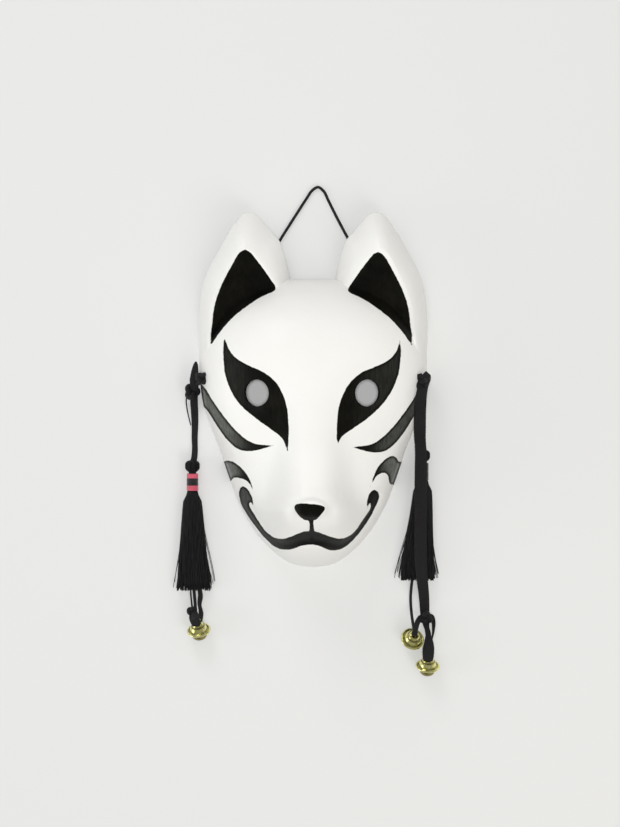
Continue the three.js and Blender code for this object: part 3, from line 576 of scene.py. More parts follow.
def lacquer_material():
    """Gloss white lacquer over a moulded surface, with satin black brushed on where paint is below 0."""
    material, tree, shader = new_material("white_lacquer_and_black_paint")
    place = mm_coordinates(tree)
    wobble = noise(tree, place, 0.35, 2.0)
    moved = calculate(tree, "MULTIPLY_ADD", wobble, 0.7, attribute(tree, "paint"))
    black = between(tree, moved, 0.53, 0.17, 0.0, 1.0)

    cloud = noise(tree, place, 0.028, 3.0, 0.55)
    white = ramp(tree, cloud, [(0.2, (0.845, 0.84, 0.815)), (0.8, (0.865, 0.862, 0.848))])
    stretched = add_node(tree, "ShaderNodeMapping", i0=place, i3=(0.9, 0.12, 0.5)).outputs[0]
    streaks = noise(tree, stretched, 1.1, 5.0, 0.62)
    brushed = calculate(tree, "MULTIPLY", streaks, noise(tree, place, 0.06, 2.0))
    dark = ramp(tree, brushed, [(0.12, (0.0025, 0.0025, 0.002)), (0.42, (0.009, 0.0085, 0.0065))])
    # Painted sheen: a pale grey mixed into the black, in streaky patches.
    patchy = between(tree, streaks, 0.3, 0.68, 0.4, 1.0)
    painted_sheen_share = calculate(tree, "MULTIPLY", attribute(tree, "painted_sheen"), patchy)
    black_with_painted_sheen = blend(tree, painted_sheen_share, dark, (0.115, 0.12, 0.11, 1), clamp_factor=False)
    tree.links.new(blend(tree, black, white, black_with_painted_sheen), shader.inputs["Base Color"])

    satin = between(tree, streaks, 0.3, 0.7, 0.36, 0.5)
    gloss = between(tree, cloud, 0.3, 0.7, 0.36, 0.44)
    finish = add_node(tree, "ShaderNodeMix", Factor=black, i2=gloss, i3=satin)
    tree.links.new(finish.outputs[0], shader.inputs["Roughness"])

    skin = noise(tree, place, 0.16, 2.0, 0.4)
    swell = add_node(tree, "ShaderNodeBump", i0=0.35, i1=0.0006, Height=skin)
    layer = calculate(tree, "ADD", calculate(tree, "MULTIPLY", streaks, black), black)
    edge = add_node(tree, "ShaderNodeBump", i0=0.5, i1=0.00012, Height=layer, Normal=swell.outputs[0])
    tree.links.new(edge.outputs[0], shader.inputs["Normal"])
    tree.links.new(between(tree, black, 0.0, 1.0, 0.45, 0.06), shader.inputs["Specular IOR Level"])
    return material


def bare_material():
    """The bare inside: matt off-white, faintly mottled from the mould."""
    material, tree, shader = new_material("bare_inside")
    place = mm_coordinates(tree)
    mottle = noise(tree, place, 0.09, 4.0, 0.6)
    off_white = ramp(tree, mottle, [(0.3, (0.85, 0.83, 0.78)), (0.7, (0.92, 0.905, 0.87))])
    tree.links.new(off_white, shader.inputs["Base Color"])
    bump = add_node(tree, "ShaderNodeBump", i0=0.5, i1=0.0004, Height=noise(tree, place, 0.8, 3.0))
    tree.links.new(bump.outputs[0], shader.inputs["Normal"])
    shader.inputs["Roughness"].default_value = 0.6
    return material


shell.name = shell.data.name = "mask_shell_lacquered"
shell.data.materials.clear()
shell.data.materials.append(lacquer_material())
shell.data.materials.append(bare_material())
shell.data.shade_smooth()
shell.data.set_sharp_from_angle(angle=math.radians(38))
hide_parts("mask_shell")
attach(shell, "root")


# Head cord: round black braid, tied in both side holes. It lies behind the mask, and its loop comes out
# between the ears.

CORD_DIAMETER = 2.0
FLOOR_GAP = 0.1
LOW = CORD_DIAMETER / 2 + FLOOR_GAP
HEAD_CORD = [
    (-73.5, 133, 6.4), (-71, 139, 3), (-65, 152.5, LOW + 0.2), (-55.2, 171, LOW), (-44.6, 190.5, LOW),
    (-34.2, 209, LOW), (-23.2, 228, LOW), (-13.1, 244, LOW), (-4.4, 257.5, LOW), (-0.6, 263, LOW),
    (3.6, 265.5, LOW), (7.7, 262.6, LOW), (11, 256, LOW), (17.5, 243, LOW), (25.5, 228, LOW),
    (35.5, 209.5, LOW), (46, 190.5, LOW), (56.5, 171.5, LOW), (66, 153, LOW + 0.2), (71, 140, 3),
    (73.5, 133, 6.4),
]
STRANDS, STRAND_SWELL, STRAND_GROOVE = 3, 0.1, 0.07


def through(points, count):
    """Evenly spaced places, in metres, on the curve through points of the mask."""
    p = np.array([[out, up - HALF_LENGTH, z] for out, up, z in points], float) * MM
    p = np.vstack([2 * p[0] - p[1], p, 2 * p[-1] - p[-2]])
    gap = np.sqrt(np.linalg.norm(np.diff(p, axis=0), axis=1))
    t = np.linspace(0, 1, 30, endpoint=False)[:, None]
    bits = []
    for i in range(1, len(p) - 2):
        a, b, c = gap[i - 1], gap[i], gap[i + 1]
        leave = ((p[i] - p[i - 1]) / a - (p[i + 1] - p[i - 1]) / (a + b) + (p[i + 1] - p[i]) / b) * b
        arrive = ((p[i + 1] - p[i]) / b - (p[i + 2] - p[i]) / (b + c) + (p[i + 2] - p[i + 1]) / c) * b
        ends = p[i] * (1 + 2 * t) * (1 - t) ** 2 + p[i + 1] * t * t * (3 - 2 * t)
        bits.append(ends + leave * t * (1 - t) ** 2 - arrive * t * t * (1 - t))
    line = np.vstack(bits + [p[-2:-1]])
    run = np.concatenate([[0], np.cumsum(np.linalg.norm(np.diff(line, axis=0), axis=1))])
    even = np.linspace(0, run[-1], count)
    return np.column_stack([np.interp(even, run, line[:, k]) for k in range(3)])


def length_of(line):
    return float(np.linalg.norm(np.diff(line, axis=0), axis=1).sum())


def frames_along(line, closed=False):
    """A level and an upright direction, both square to the line, at each of its points."""
    if closed:
        tangent = np.roll(line, -1, axis=0) - np.roll(line, 1, axis=0)
    else:
        tangent = np.gradient(line, axis=0)
    tangent /= np.linalg.norm(tangent, axis=1)[:, None]
    level = np.cross(tangent, [0, 0, 1.0])
    size = np.linalg.norm(level, axis=1)[:, None]
    level = np.where(size > 0.02, level / np.maximum(size, 1e-9), [[1.0, 0, 0]])
    return level, np.cross(level, tangent)


def swept_arrays(line, outline, across, away, closed=False):
    """Points and faces of an outline carried along a line, laid in two directions at each of its points."""
    points = line[:, None] + outline[..., :1] * across[:, None] + outline[..., 1:] * away[:, None]
    rings, sides = points.shape[:2]
    faces = grid_faces(rings, sides, True, True) if closed else capped_faces(rings, sides)
    return points.reshape(-1, 3), faces


def tube_arrays(line, outline, closed=False):
    """Points and faces of an outline that stays level and upright along a line."""
    return swept_arrays(line, outline, *frames_along(line, closed), closed)


def braid_material(name, dark, light, cell):
    """Matt black braid: a fine criss-cross of threads, a little greyer in patches on their crests."""
    material, tree, shader = new_material(name)
    place = mm_coordinates(tree)
    waves = []
    for turn in (0.9, -0.9):
        turned = add_node(tree, "ShaderNodeVectorRotate", {"rotation_type": "Z_AXIS"}, i0=place, i3=turn)
        wave = add_node(tree, "ShaderNodeTexWave", {"bands_direction": "Y"}, i0=turned.outputs[0],
                        i1=1 / cell, i2=0.8, i3=1.0)
        waves.append(wave.outputs[1])
    weave = calculate(tree, "MAXIMUM", *waves)
    crest_grey = calculate(tree, "MULTIPLY", weave, noise(tree, place, 1.7, 3.0))
    tree.links.new(ramp(tree, crest_grey, [(0.1, dark), (0.75, light)]), shader.inputs["Base Color"])
    bump = add_node(tree, "ShaderNodeBump", i0=0.55, i1=0.0003, Height=weave)
    tree.links.new(bump.outputs[0], shader.inputs["Normal"])
    shader.inputs["Roughness"].default_value = 0.62
    shader.inputs["Specular IOR Level"].default_value = 0.3
    return material


def round_braid(line, diameter, pitch=4.2):
    """Outlines of a round cord whose strands wind along it."""
    angle = angles(18)
    run = np.linspace(0, length_of(line) / MM, len(line))[:, None]
    wind = np.abs(np.cos(STRANDS * (angle[None] - 2 * np.pi * run / pitch) / 2))
    swell = 1 + STRAND_SWELL * wind - STRAND_GROOVE
    radius = diameter / 2 * MM * swell
    return np.stack([radius * np.cos(angle), radius * np.sin(angle)], axis=-1)


cord_material = braid_material("black_braided_cord", (0.004, 0.004, 0.0045), (0.03, 0.03, 0.031), 0.75)
head_line = through(HEAD_CORD, 620)
head_cord = add_object("head_cord_braid", *tube_arrays(head_line, round_braid(head_line, CORD_DIAMETER)),
                       [cord_material])
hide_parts("head_cord")
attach(head_cord, "root")


# Tassels: bundles of fine black rayon threads, folded over a loop at the head and bound at the neck. They
# lie on their sides, so the skirts are spread a little flat, and a few threads have strayed.

TASSEL_HEAD_DIAMETER = 10.2
TASSEL_NECK_DIAMETER = 6
TASSEL_SKIRT_WIDTH = 21
TASSEL_SKIRT_THICKNESS = 9
TASSEL_LENGTH = 90
TASSEL_HEAD_LENGTH = 9
BINDING_LENGTH = 12.6
SKIRT_FROM = TASSEL_HEAD_LENGTH + BINDING_LENGTH
# Where each head's top lies, and how far the skirt's end is led to one side.
LEFT_TASSEL = (-84, 74.6, 0.6)
RIGHT_TASSEL = (76.8, 82, -3.8)
THREAD_RADIUS = 0.3
STRAY_THREAD_RADIUS = 0.22
HEAD_THREAD_RADIUS = 0.34
# The skirt's layers, from the outside in: their share of its size, and their threads.
SKIRT_LAYERS = ((1.0, 96), (0.94, 80), (0.86, 64), (0.55, 50), (0.25, 20))
STRAY_THREADS = 16
HEAD_THREADS = 46


def tassel_axis_height(down):
    drop = (TASSEL_SKIRT_THICKNESS - TASSEL_HEAD_DIAMETER) / 2
    return TASSEL_HEAD_DIAMETER / 2 + drop * smooth(down / TASSEL_LENGTH)


def tassel_half_size(down):
    """Half width and half thickness of the bundle at distances from the top of the head."""
    neck = TASSEL_NECK_DIAMETER / 2
    head = TASSEL_HEAD_DIAMETER / 2 * np.sqrt(np.maximum(0, 1 - (2 * down / TASSEL_HEAD_LENGTH - 0.9) ** 2))
    head = np.maximum(head, neck * 0.7)
    t = np.clip((down - SKIRT_FROM) / (TASSEL_LENGTH - SKIRT_FROM), 0, 1.2)
    wide = neck + 2.6 * smooth(t / 0.12) + (TASSEL_SKIRT_WIDTH / 2 - neck - 1.9) * t ** 0.9
    thick = neck + 0.6 * smooth(t / 0.05) + (TASSEL_SKIRT_THICKNESS / 2 - neck - 0.6) * smooth(t / 0.5)
    in_head = down < TASSEL_HEAD_LENGTH
    return np.where(in_head, head, wide), np.where(in_head, head, thick)


def tassel_place(tassel, down, across, rise):
    """Places in metres, from how far down, across and above the middle of a tassel they are."""
    head_out, head_up, skirt_out = tassel
    sideways = skirt_out * smooth((down - SKIRT_FROM) / (TASSEL_LENGTH - SKIRT_FROM))
    out, up = head_out + sideways + across, head_up - down - HALF_LENGTH
    return np.stack([out, up, tassel_axis_height(down) + rise], axis=-1) * MM


def thread(line, radius):
    """A five-sided thread."""
    return tube_arrays(line, circle(5) * radius * MM)


def join_arrays(parts):
    """One list of points and one of faces from several."""
    points, faces, start = [], [], 0
    for part_points, part_faces in parts:
        points.append(part_points)
        faces += [[i + start for i in face] for face in part_faces]
        start += len(part_points)
    return np.vstack(points), faces


def tassel_core(tassel):
    """The solid heart of the bundle, a little thinner than its threads."""
    down = np.linspace(TASSEL_HEAD_LENGTH * 0.1, TASSEL_LENGTH * 0.96, 40)
    wide, thick = tassel_half_size(down)
    angle = angles(24)[None]
    core = tassel_place(tassel, down[:, None] + 0 * angle, 0.84 * wide[:, None] * np.cos(angle),
                        0.84 * thick[:, None] * np.sin(angle))
    rings, sides = core.shape[:2]
    faces = [[a, d, c, b] for a, b, c, d in grid_faces(rings, sides, joined_columns=True)]
    faces += [list(range(sides)), list(range((rings - 1) * sides, rings * sides))[::-1]]
    return core.reshape(-1, 3), faces


def skirt_thread(tassel, chance, layer, around):
    """A thread of the skirt, waving more and more towards its free end."""
    stop = TASSEL_LENGTH + chance.uniform(-2.6, 1.4)
    down = np.linspace(SKIRT_FROM - 1.5, stop, 17)
    free = smooth((down - SKIRT_FROM - 12) / 50)
    wave = chance.uniform(0, 6.3)
    swing = around + free * 0.16 * np.sin(down / chance.uniform(9, 16) + wave)
    swing = swing + free * chance.gauss(0, 0.1)
    loose = layer + free * 0.05 * np.sin(down / chance.uniform(5, 11) + wave * 2)
    loose = loose + free * chance.gauss(0, 0.03)
    wide, thick = tassel_half_size(down)
    rise = np.maximum((thick - THREAD_RADIUS) * loose * np.sin(swing),
                      THREAD_RADIUS + 0.05 - tassel_axis_height(down))
    return thread(tassel_place(tassel, down, wide * loose * np.cos(swing), rise), THREAD_RADIUS)


def stray_thread(tassel, chance, stray_sides):
    """A thread that has left the bundle and sunk to the floor."""
    side = chance.choice(stray_sides)
    leave = chance.uniform(40, 62)
    stop = TASSEL_LENGTH + chance.uniform(-6, 1)
    down = np.linspace(SKIRT_FROM, stop, 22)
    wide, thick = tassel_half_size(down)
    astray = smooth((down - leave) / (stop - leave + 6)) * chance.uniform(1.5, 5.5)
    across = side * (wide * chance.uniform(0.8, 0.98) + astray)
    rise = np.maximum(-tassel_axis_height(down) + THREAD_RADIUS + 0.1,
                      chance.uniform(-0.3, 0.3) * thick - 3 * smooth((down - leave) / 25))
    return thread(tassel_place(tassel, down, across, rise), STRAY_THREAD_RADIUS)


def head_thread(tassel, chance, around):
    """A thread from the top of the head into the binding."""
    down = np.linspace(0.25, TASSEL_HEAD_LENGTH + 1.2, 17)
    wide = tassel_half_size(np.minimum(down, TASSEL_HEAD_LENGTH - 0.01))[0]
    size = np.minimum(wide, TASSEL_HEAD_DIAMETER / 2 - THREAD_RADIUS)
    size = np.where(down < 1, size * np.sqrt(down), size)
    lean = around + 0.12 * np.sin(down / 3 + chance.uniform(0, 6))
    return thread(tassel_place(tassel, down, size * np.cos(lean), size * np.sin(lean)), HEAD_THREAD_RADIUS)


def tassel_arrays(tassel, stray_sides, seed):
    chance = random.Random(seed)
    parts = [tassel_core(tassel)]
    for layer, count in SKIRT_LAYERS:
        for i in range(count):
            around = 2 * math.pi * (i + chance.uniform(-0.35, 0.35)) / count
            parts.append(skirt_thread(tassel, chance, layer, around))
    for i in range(STRAY_THREADS):
        parts.append(stray_thread(tassel, chance, stray_sides))
    for i in range(HEAD_THREADS):
        around = 2 * math.pi * (i + chance.uniform(-0.2, 0.2)) / HEAD_THREADS
        parts.append(head_thread(tassel, chance, around))
    return join_arrays(parts)


def thread_material():
    """Black rayon thread: silky, with the light drawn out along it."""
    material, tree, shader = new_material("black_tassel_thread")
    place = mm_coordinates(tree)
    stretched = add_node(tree, "ShaderNodeMapping", i0=place, i3=(2.2, 0.12, 2.2)).outputs[0]
    strand = noise(tree, stretched, 1.0, 3.0)
    black = ramp(tree, strand, [(0.3, (0.0025, 0.0025, 0.003)), (0.7, (0.014, 0.0135, 0.014))])
    tree.links.new(black, shader.inputs["Base Color"])
    shader.inputs["Roughness"].default_value = 0.5
    shader.inputs["Specular IOR Level"].default_value = 0.25
    return material


tassel_material = thread_material()
tassels = {}
for side_name, tassel, stray_sides, seed in (("left", LEFT_TASSEL, (1, 1, 1, -1), 11),
                                             ("right", RIGHT_TASSEL, (-1, 1), 23)):
    item = add_object(side_name + "_tassel_threads", *tassel_arrays(tassel, stray_sides, seed),
                      [tassel_material])
    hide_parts(side_name + "_tassel")
    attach(item, "root")
    tassels[side_name] = item


# Bindings: thread wound tight round each tassel's neck, red, black and red again on the left, and black
# alone on the right, where the ribbon covers it.

BINDING_THREAD = 0.42
BINDING_STANDOFF = 0.62
BINDING_END = 0.4
# The stretches of the left binding that are red, from its upper end.
RED_LENGTHS = ((0, 3.4), (8.4, 12.6))


def silk_material(name, dark, light, roughness):
    material, tree, shader = new_material(name)
    fibre = noise(tree, mm_coordinates(tree), 2.4, 3.0)
    tree.links.new(ramp(tree, fibre, [(0.3, dark), (0.7, light)]), shader.inputs["Base Color"])
    bump = add_node(tree, "ShaderNodeBump", i0=0.4, i1=0.0001, Height=fibre)
    tree.links.new(bump.outputs[0], shader.inputs["Normal"])
    shader.inputs["Roughness"].default_value = roughness
    shader.inputs["Sheen Weight"].default_value = 0.15
    return material


def wound_turn(tassel, i):
    """One turn of binding thread, and how far it is from the binding's upper end."""
    below = BINDING_END + BINDING_THREAD + 2 * BINDING_THREAD * i
    angle = angles(36)
    down = TASSEL_HEAD_LENGTH + below + 0.12 * np.sin(angle + i)
    size = TASSEL_NECK_DIAMETER / 2 + BINDING_STANDOFF + 0.05 * math.sin(i * 1.7)
    loop = tassel_place(tassel, down, size * np.cos(angle), size * np.sin(angle))
    tangent = np.roll(loop, -1, axis=0) - np.roll(loop, 1, axis=0)
    tangent /= np.linalg.norm(tangent, axis=1)[:, None]
    along_axis = np.cross(np.cross(tangent, [0, 1.0, 0]), tangent)
    outline = circle(8) * BINDING_THREAD * 1.12 * MM
    return swept_arrays(loop, outline, along_axis, np.cross(tangent, along_axis), closed=True), below


red_silk = silk_material("red_binding_thread", (0.45, 0.05, 0.09), (0.78, 0.16, 0.22), 0.42)
black_silk = silk_material("black_binding_thread", (0.004, 0.004, 0.0045), (0.016, 0.016, 0.017), 0.45)
bindings = {}
for side_name, tassel in (("left", LEFT_TASSEL), ("right", RIGHT_TASSEL)):
    turns = int((BINDING_LENGTH - 2 * BINDING_END) / (2 * BINDING_THREAD))
    parts, colours = [], []
    for i in range(turns):
        wound, below = wound_turn(tassel, i)
        red = side_name == "left" and any(low <= below <= high for low, high in RED_LENGTHS)
        parts.append(wound)
        colours += [1 if red else 0] * len(wound[1])
    silks = [black_silk, red_silk] if side_name == "left" else [black_silk]
    item = add_object(side_name + "_tassel_binding_wraps", *join_arrays(parts), silks)
    item.data.polygons.foreach_set("material_index", colours)
    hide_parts(side_name + "_tassel_binding")
    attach(item, "root")
    bindings[side_name] = item


# Bells: jingle bells pressed from thin brass sheet in two cups that meet in a turned lip, with a wire loop
# on top and, in the lower cup, a slot with a round eye at each end.

BELL_DIAMETER = 14
BELL_HEIGHT = 13
BELL_WALL = 0.7
BELL_LIP = 1.3
BELL_LIP_ROLL = 0.85
BELL_CUP_WIDTH = 11.6
BELL_CUP_ROUNDNESS = 0.38
BELL_STEP_RADIUS, BELL_CROWN_RADIUS, BELL_STEP = 4.1, 2.4, 0.42
BELL_GROOVE_RADIUS, BELL_GROOVE_DEPTH = 4.4, 0.5
BELL_SLOT_WIDTH = 1.8
BELL_SLOT_SHARE = 0.68
BELL_EYE_DIAMETER = 2.8
BELL_LOOP_HEIGHT = 3.4
BELL_LOOP_WIRE = 1.1
BELL_SIDES = 96
# Each bell: its name, how far its loop is raised and how far it is turned, in degrees, and where it lies.
BELLS = [
    ("left_bell", 30, -8, -79.5, -44), ("right_upper_bell", 56, 27, 69.5, -50),
    ("right_lower_bell", 28, 4, 80.1, -68.7),
]


def turned_object(name, profile):
    """A solid turned about Z from a profile of (radius, height) that starts and ends on the axis."""
    profile = np.array(profile)
    angle = angles(BELL_SIDES)
    rings = profile[1:-1]
    points = np.stack([rings[:, None, 0] * np.cos(angle), rings[:, None, 0] * np.sin(angle),
                       rings[:, None, 1] + 0 * angle], axis=-1).reshape(-1, 3)
    points = np.vstack([points, [[0, 0, profile[0][1]], [0, 0, profile[-1][1]]]]) * MM
    n, m = len(rings), BELL_SIDES
    faces = grid_faces(n, m, joined_columns=True)
    faces += [[n * m, (k + 1) % m, k] for k in range(m)]
    faces += [[n * m + 1, (n - 1) * m + k, (n - 1) * m + (k + 1) % m] for k in range(m)]
    return add_object(name, points, faces, [])


def bell_profile():
    """Half outline of a bell: the lower cup's barrel, the rolled lip, and the upper cup with its steps."""
    cup, half, lip = BELL_CUP_WIDTH / 2, BELL_HEIGHT / 2, BELL_DIAMETER / 2 + BELL_LIP
    roll = BELL_LIP_ROLL
    profile = [(cup * math.cos(a) ** BELL_CUP_ROUNDNESS, half * math.sin(a))
               for a in np.linspace(-math.pi / 2, -0.1, 30)]
    profile += [(cup + 0.6, -0.45)]
    profile += [(lip - roll + roll * math.cos(a), roll * math.sin(a)) for a in np.linspace(-2.0, 2.0, 17)]
    profile += [(cup + 0.9, 0.4)]
    for a in np.linspace(0.12, math.pi / 2, 36):
        r, z = (cup + 0.4) * math.cos(a), half * math.sin(a)
        groove = BELL_GROOVE_DEPTH * math.exp(-((r - BELL_GROOVE_RADIUS) / 0.32) ** 2)
        step = BELL_STEP * float(smooth((BELL_STEP_RADIUS - r) / 0.35)) - groove
        profile.append((r, z + step - BELL_STEP * float(smooth((BELL_CROWN_RADIUS - r) / 0.4))))
    profile[0] = (0, profile[0][1])
    profile[-1] = (0, profile[-1][1])
    return profile


def bell_loop():
    """The wire loop that stands on the bell's crown."""
    middle = BELL_HEIGHT / 2 + BELL_LOOP_HEIGHT / 3
    angle = angles(48)
    radius = BELL_LOOP_HEIGHT - BELL_LOOP_WIRE
    loop = np.column_stack([radius * np.cos(angle), 0 * angle, radius * np.sin(angle) + middle]) * MM
    away = loop - np.array([0, 0, middle]) * MM
    away /= np.linalg.norm(away, axis=1)[:, None]
    sideways = np.repeat([[0, 1.0, 0]], len(loop), axis=0)
    points, faces = swept_arrays(loop, circle(12) * BELL_LOOP_WIRE / 2 * MM, away, sideways, closed=True)
    return add_object("loop", points, faces, [])


def bell_object(name):
    """A hollow bell, its loop up along Z, with its slot and eyes cut in the lower cup."""
    half = BELL_HEIGHT / 2
    bell = turned_object(name, bell_profile())
    inside, depth = BELL_CUP_WIDTH / 2 - BELL_WALL, half - 1.4 * BELL_WALL
    turn = np.linspace(-math.pi / 2, math.pi / 2, 34)
    hollow = [(inside * math.cos(a), depth * math.sin(a)) for a in turn]
    hollow[0], hollow[-1] = (0, hollow[0][1]), (0, hollow[-1][1])
    combine(bell, turned_object("bell_hollow", hollow), "DIFFERENCE")
    corners = [(x, y, z) for x in (-0.5, 0.5) for y in (-0.5, 0.5) for z in (-0.5, 0.5)]
    box = np.array(corners) * [BELL_CUP_WIDTH * BELL_SLOT_SHARE, BELL_SLOT_WIDTH, half] + [0, 0, -half]
    box_faces = [[0, 1, 3, 2], [4, 6, 7, 5], [0, 4, 5, 1], [2, 3, 7, 6], [0, 2, 6, 4], [1, 5, 7, 3]]
    combine(bell, add_object("slot", box * MM, box_faces, []), "DIFFERENCE")
    for end in (-1, 1):
        place = (end * BELL_CUP_WIDTH * BELL_SLOT_SHARE / 2, 0, -half)
        eye = rod("bell_eye", BELL_EYE_DIAMETER, half, 40, Matrix.Identity(4), place, 0)
        combine(bell, eye, "DIFFERENCE")
    combine(bell, bell_loop(), "UNION")
    return bell


def tarnish_and_shade_on(bell):
    """How dark the brass is: tarnish in the grooves of the upper cup and under the lip, and painted shade on
    the lower cup.
    """
    local = np.array([v.co for v in bell.data.vertices]) / MM
    radius, above = np.hypot(local[:, 0], local[:, 1]), local[:, 2]
    groove = np.exp(-((radius - BELL_GROOVE_RADIUS) / 0.5) ** 2) + smooth((3.2 - radius) / 0.8)
    corner = np.exp(-((radius - BELL_CUP_WIDTH / 2 - 0.6) / 0.4) ** 2)
    upper = smooth((above - 0.9) / 0.4) * (above < BELL_HEIGHT / 2 + 0.3)
    # Painted shade: the whole lower cup is darkened.
    lower = smooth((-above - 0.9) / 0.7)
    return np.clip(0.9 * groove * upper + 0.8 * corner + 0.85 * lower, 0, 1)


def brass_material():
    """Polished brass, a little greenish, with dull brown tarnish in its grooves and painted shade on the
    lower cup.
    """
    material, tree, shader = new_material("polished_brass")
    cloud = noise(tree, mm_coordinates(tree), 0.35, 4.0, 0.6)
    bright = ramp(tree, cloud, [(0.3, (0.7, 0.67, 0.2)), (0.65, (0.92, 0.9, 0.46))])
    tarnish_and_shade_colour = ramp(tree, cloud, [(0.3, (0.07, 0.05, 0.012)), (0.65, (0.2, 0.15, 0.045))])
    colour = blend(tree, attribute(tree, "tarnish_and_shade"), bright, tarnish_and_shade_colour)
    tree.links.new(colour, shader.inputs["Base Color"])
    tree.links.new(between(tree, cloud, 0.3, 0.7, 0.1, 0.2), shader.inputs["Roughness"])
    shader.inputs["Metallic"].default_value = 1.0
    return material


brass = brass_material()
bells = {}
for node, raised, turned, out, up in BELLS:
    item = bell_object(node + "_brass")
    store(item, "tarnish_and_shade", tarnish_and_shade_on(item))
    raise_loop = Matrix.Rotation(math.radians(raised - 90), 4, "X")
    item.data.transform(Matrix.Rotation(-math.radians(turned), 4, "Z") @ raise_loop)
    lowest = min(v.co.z for v in item.data.vertices)
    item.data.transform(Matrix.Translation((out * MM, (up - HALF_LENGTH) * MM, -lowest)))
    item.data.materials.clear()
    item.data.materials.append(brass)
    item.data.shade_smooth()
    item.data.set_sharp_from_angle(angle=math.radians(40))
    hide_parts(node)
    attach(item, "root")
    bells[node] = item


# Ribbons, bell cords and their knots: the ribbons are flat black braid, knotted in each side hole. The left
# one ends at its tassel's head, and the right one goes on over its tassel and through a bow knot to the
# lower bell. Round cords from the tassels' skirts hold the other two bells.

RIBBON_THICKNESS = 1.4
TAIL_THICKNESS = 1.0
BELL_CORD_DIAMETER = 2.2
RIBBON_LOW = RIBBON_THICKNESS / 2 + FLOOR_GAP
LEFT_RIBBON = [
    (-82.2, 131, 8), (-82.8, 124, 6.2), (-83, 116, 3.6), (-82.7, 108, 1.6), (-82.5, 100, RIBBON_LOW),
    (-82.7, 90, RIBBON_LOW), (-82.5, 82, 1.6), (-82.8, 76.4, 4.2), (-83.4, 73.6, 5.4),
]
RIGHT_RIBBON = [
    (79.2, 131.6, 16.4), (76.6, 126, 22.4), (75, 119, 26.6), (74.4, 112, 25.2), (74.3, 105, 20.4),
    (74.4, 98, 14.8), (74.6, 91, 11), (75, 84.5, 11.2), (75.3, 78, 12.2), (75.3, 68, 11.8), (75.2, 57, 10.4),
    (75.1, 44, 10.3), (75, 28, 10.4), (75, 12, 10.4), (75.4, 0, 10.5), (76.4, -10, 10.6), (77.4, -18, 6.6),
    (78, -25, 2.2), (78.4, -33, RIBBON_LOW), (79.2, -40, 2), (80.6, -47, 5), (80.8, -53, 9.4),
    (80.4, -58, 13), (80.2, -62, 15), (80.1, -64.6, 14.8),
]
# The first place of each bell cord is inside the tassel, where its threads hide it.
LEFT_BELL_CORD = [
    (-83.2, -3, 4.4), (-83, -16.3, 4), (-82.8, -20, 1.8), (-82.4, -25, 1.3), (-81.9, -30, 4),
    (-81, -34.6, 9.2),
]
RIGHT_BELL_CORD = [
    (69.6, -3, 4), (69.4, -9, 3.4), (68.8, -15, 1.6), (68.4, -21, LOW), (68.6, -28, 1.8), (69.2, -34.6, 5),
    (69.9, -39.6, 10), (70.3, -43, 14.6), (70, -46.6, 17.4),
]
# Widths of the ribbons: (share of the length, width).
LEFT_RIBBON_WIDTHS = [(0, 4.8), (0.12, 5.6), (0.4, 5.2), (0.6, 4.5), (0.8, 4.1), (1, 4.4)]
RIGHT_RIBBON_WIDTHS = [
    (0, 6), (0.05, 7.2), (0.1, 8.2), (0.2, 8.6), (0.26, 7.9), (0.34, 8.6), (0.5, 8.4), (0.62, 8.6),
    (0.7, 7.8), (0.78, 7.2), (0.84, 6.4), (0.88, 3.6), (0.905, 4), (0.93, 6.4), (0.955, 8.2), (0.975, 8.2),
    (0.99, 7.4), (1, 6.4),
]


def flat_braid(widths, thickness):
    """Outlines of a flat ribbon: rounded edges, and a thickness that ripples with its cross threads."""
    angle = angles(20)
    step = np.arange(len(widths))
    across = np.sign(np.cos(angle)) * np.abs(np.cos(angle)) ** 0.55
    thick = np.sign(np.sin(angle)) * np.abs(np.sin(angle)) ** 0.55
    wave = 1 + 0.05 * np.sin(step * 2.1)[:, None]
    half_width = widths[:, None] / 2 * (1 + 0.012 * np.sin(step * 1.3 + 1)[:, None])
    return np.stack([half_width * MM * across, thickness / 2 * MM * thick * wave], axis=-1)


def ribbon_arrays(line, widths, thickness):
    """A ribbon whose width is eased between [(share of the length, width), ...]."""
    shares, sizes = zip(*widths)
    return tube_arrays(line, flat_braid(np.interp(np.linspace(0, 1, len(line)), shares, sizes), thickness))


def tail(places, widths, thickness=TAIL_THICKNESS):
    """A short loose end of ribbon."""
    return ribbon_arrays(through(places, 40), widths, thickness)


def knot(place, size, wire, flatten, turn, tilt):
    """An overhand knot of cord at a place, as wide as size."""
    t = angles(90)
    line = np.column_stack([np.sin(t) + 2 * np.sin(2 * t), np.cos(t) - 2 * np.cos(2 * t), -np.sin(3 * t)])
    line *= [size / 6, size / 6, size * flatten / 3.2]
    turned = Matrix.Rotation(turn, 3, "Z") @ Matrix.Rotation(tilt, 3, "X")
    line = line @ np.array(turned).T
    line += [place[0], place[1] - HALF_LENGTH, place[2]]
    return tube_arrays(line * MM, circle(10) * wire * MM, closed=True)


def add_knot(name, parts, material):
    item = add_object(name, *join_arrays(parts), [material])
    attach(item, "root")
    return item


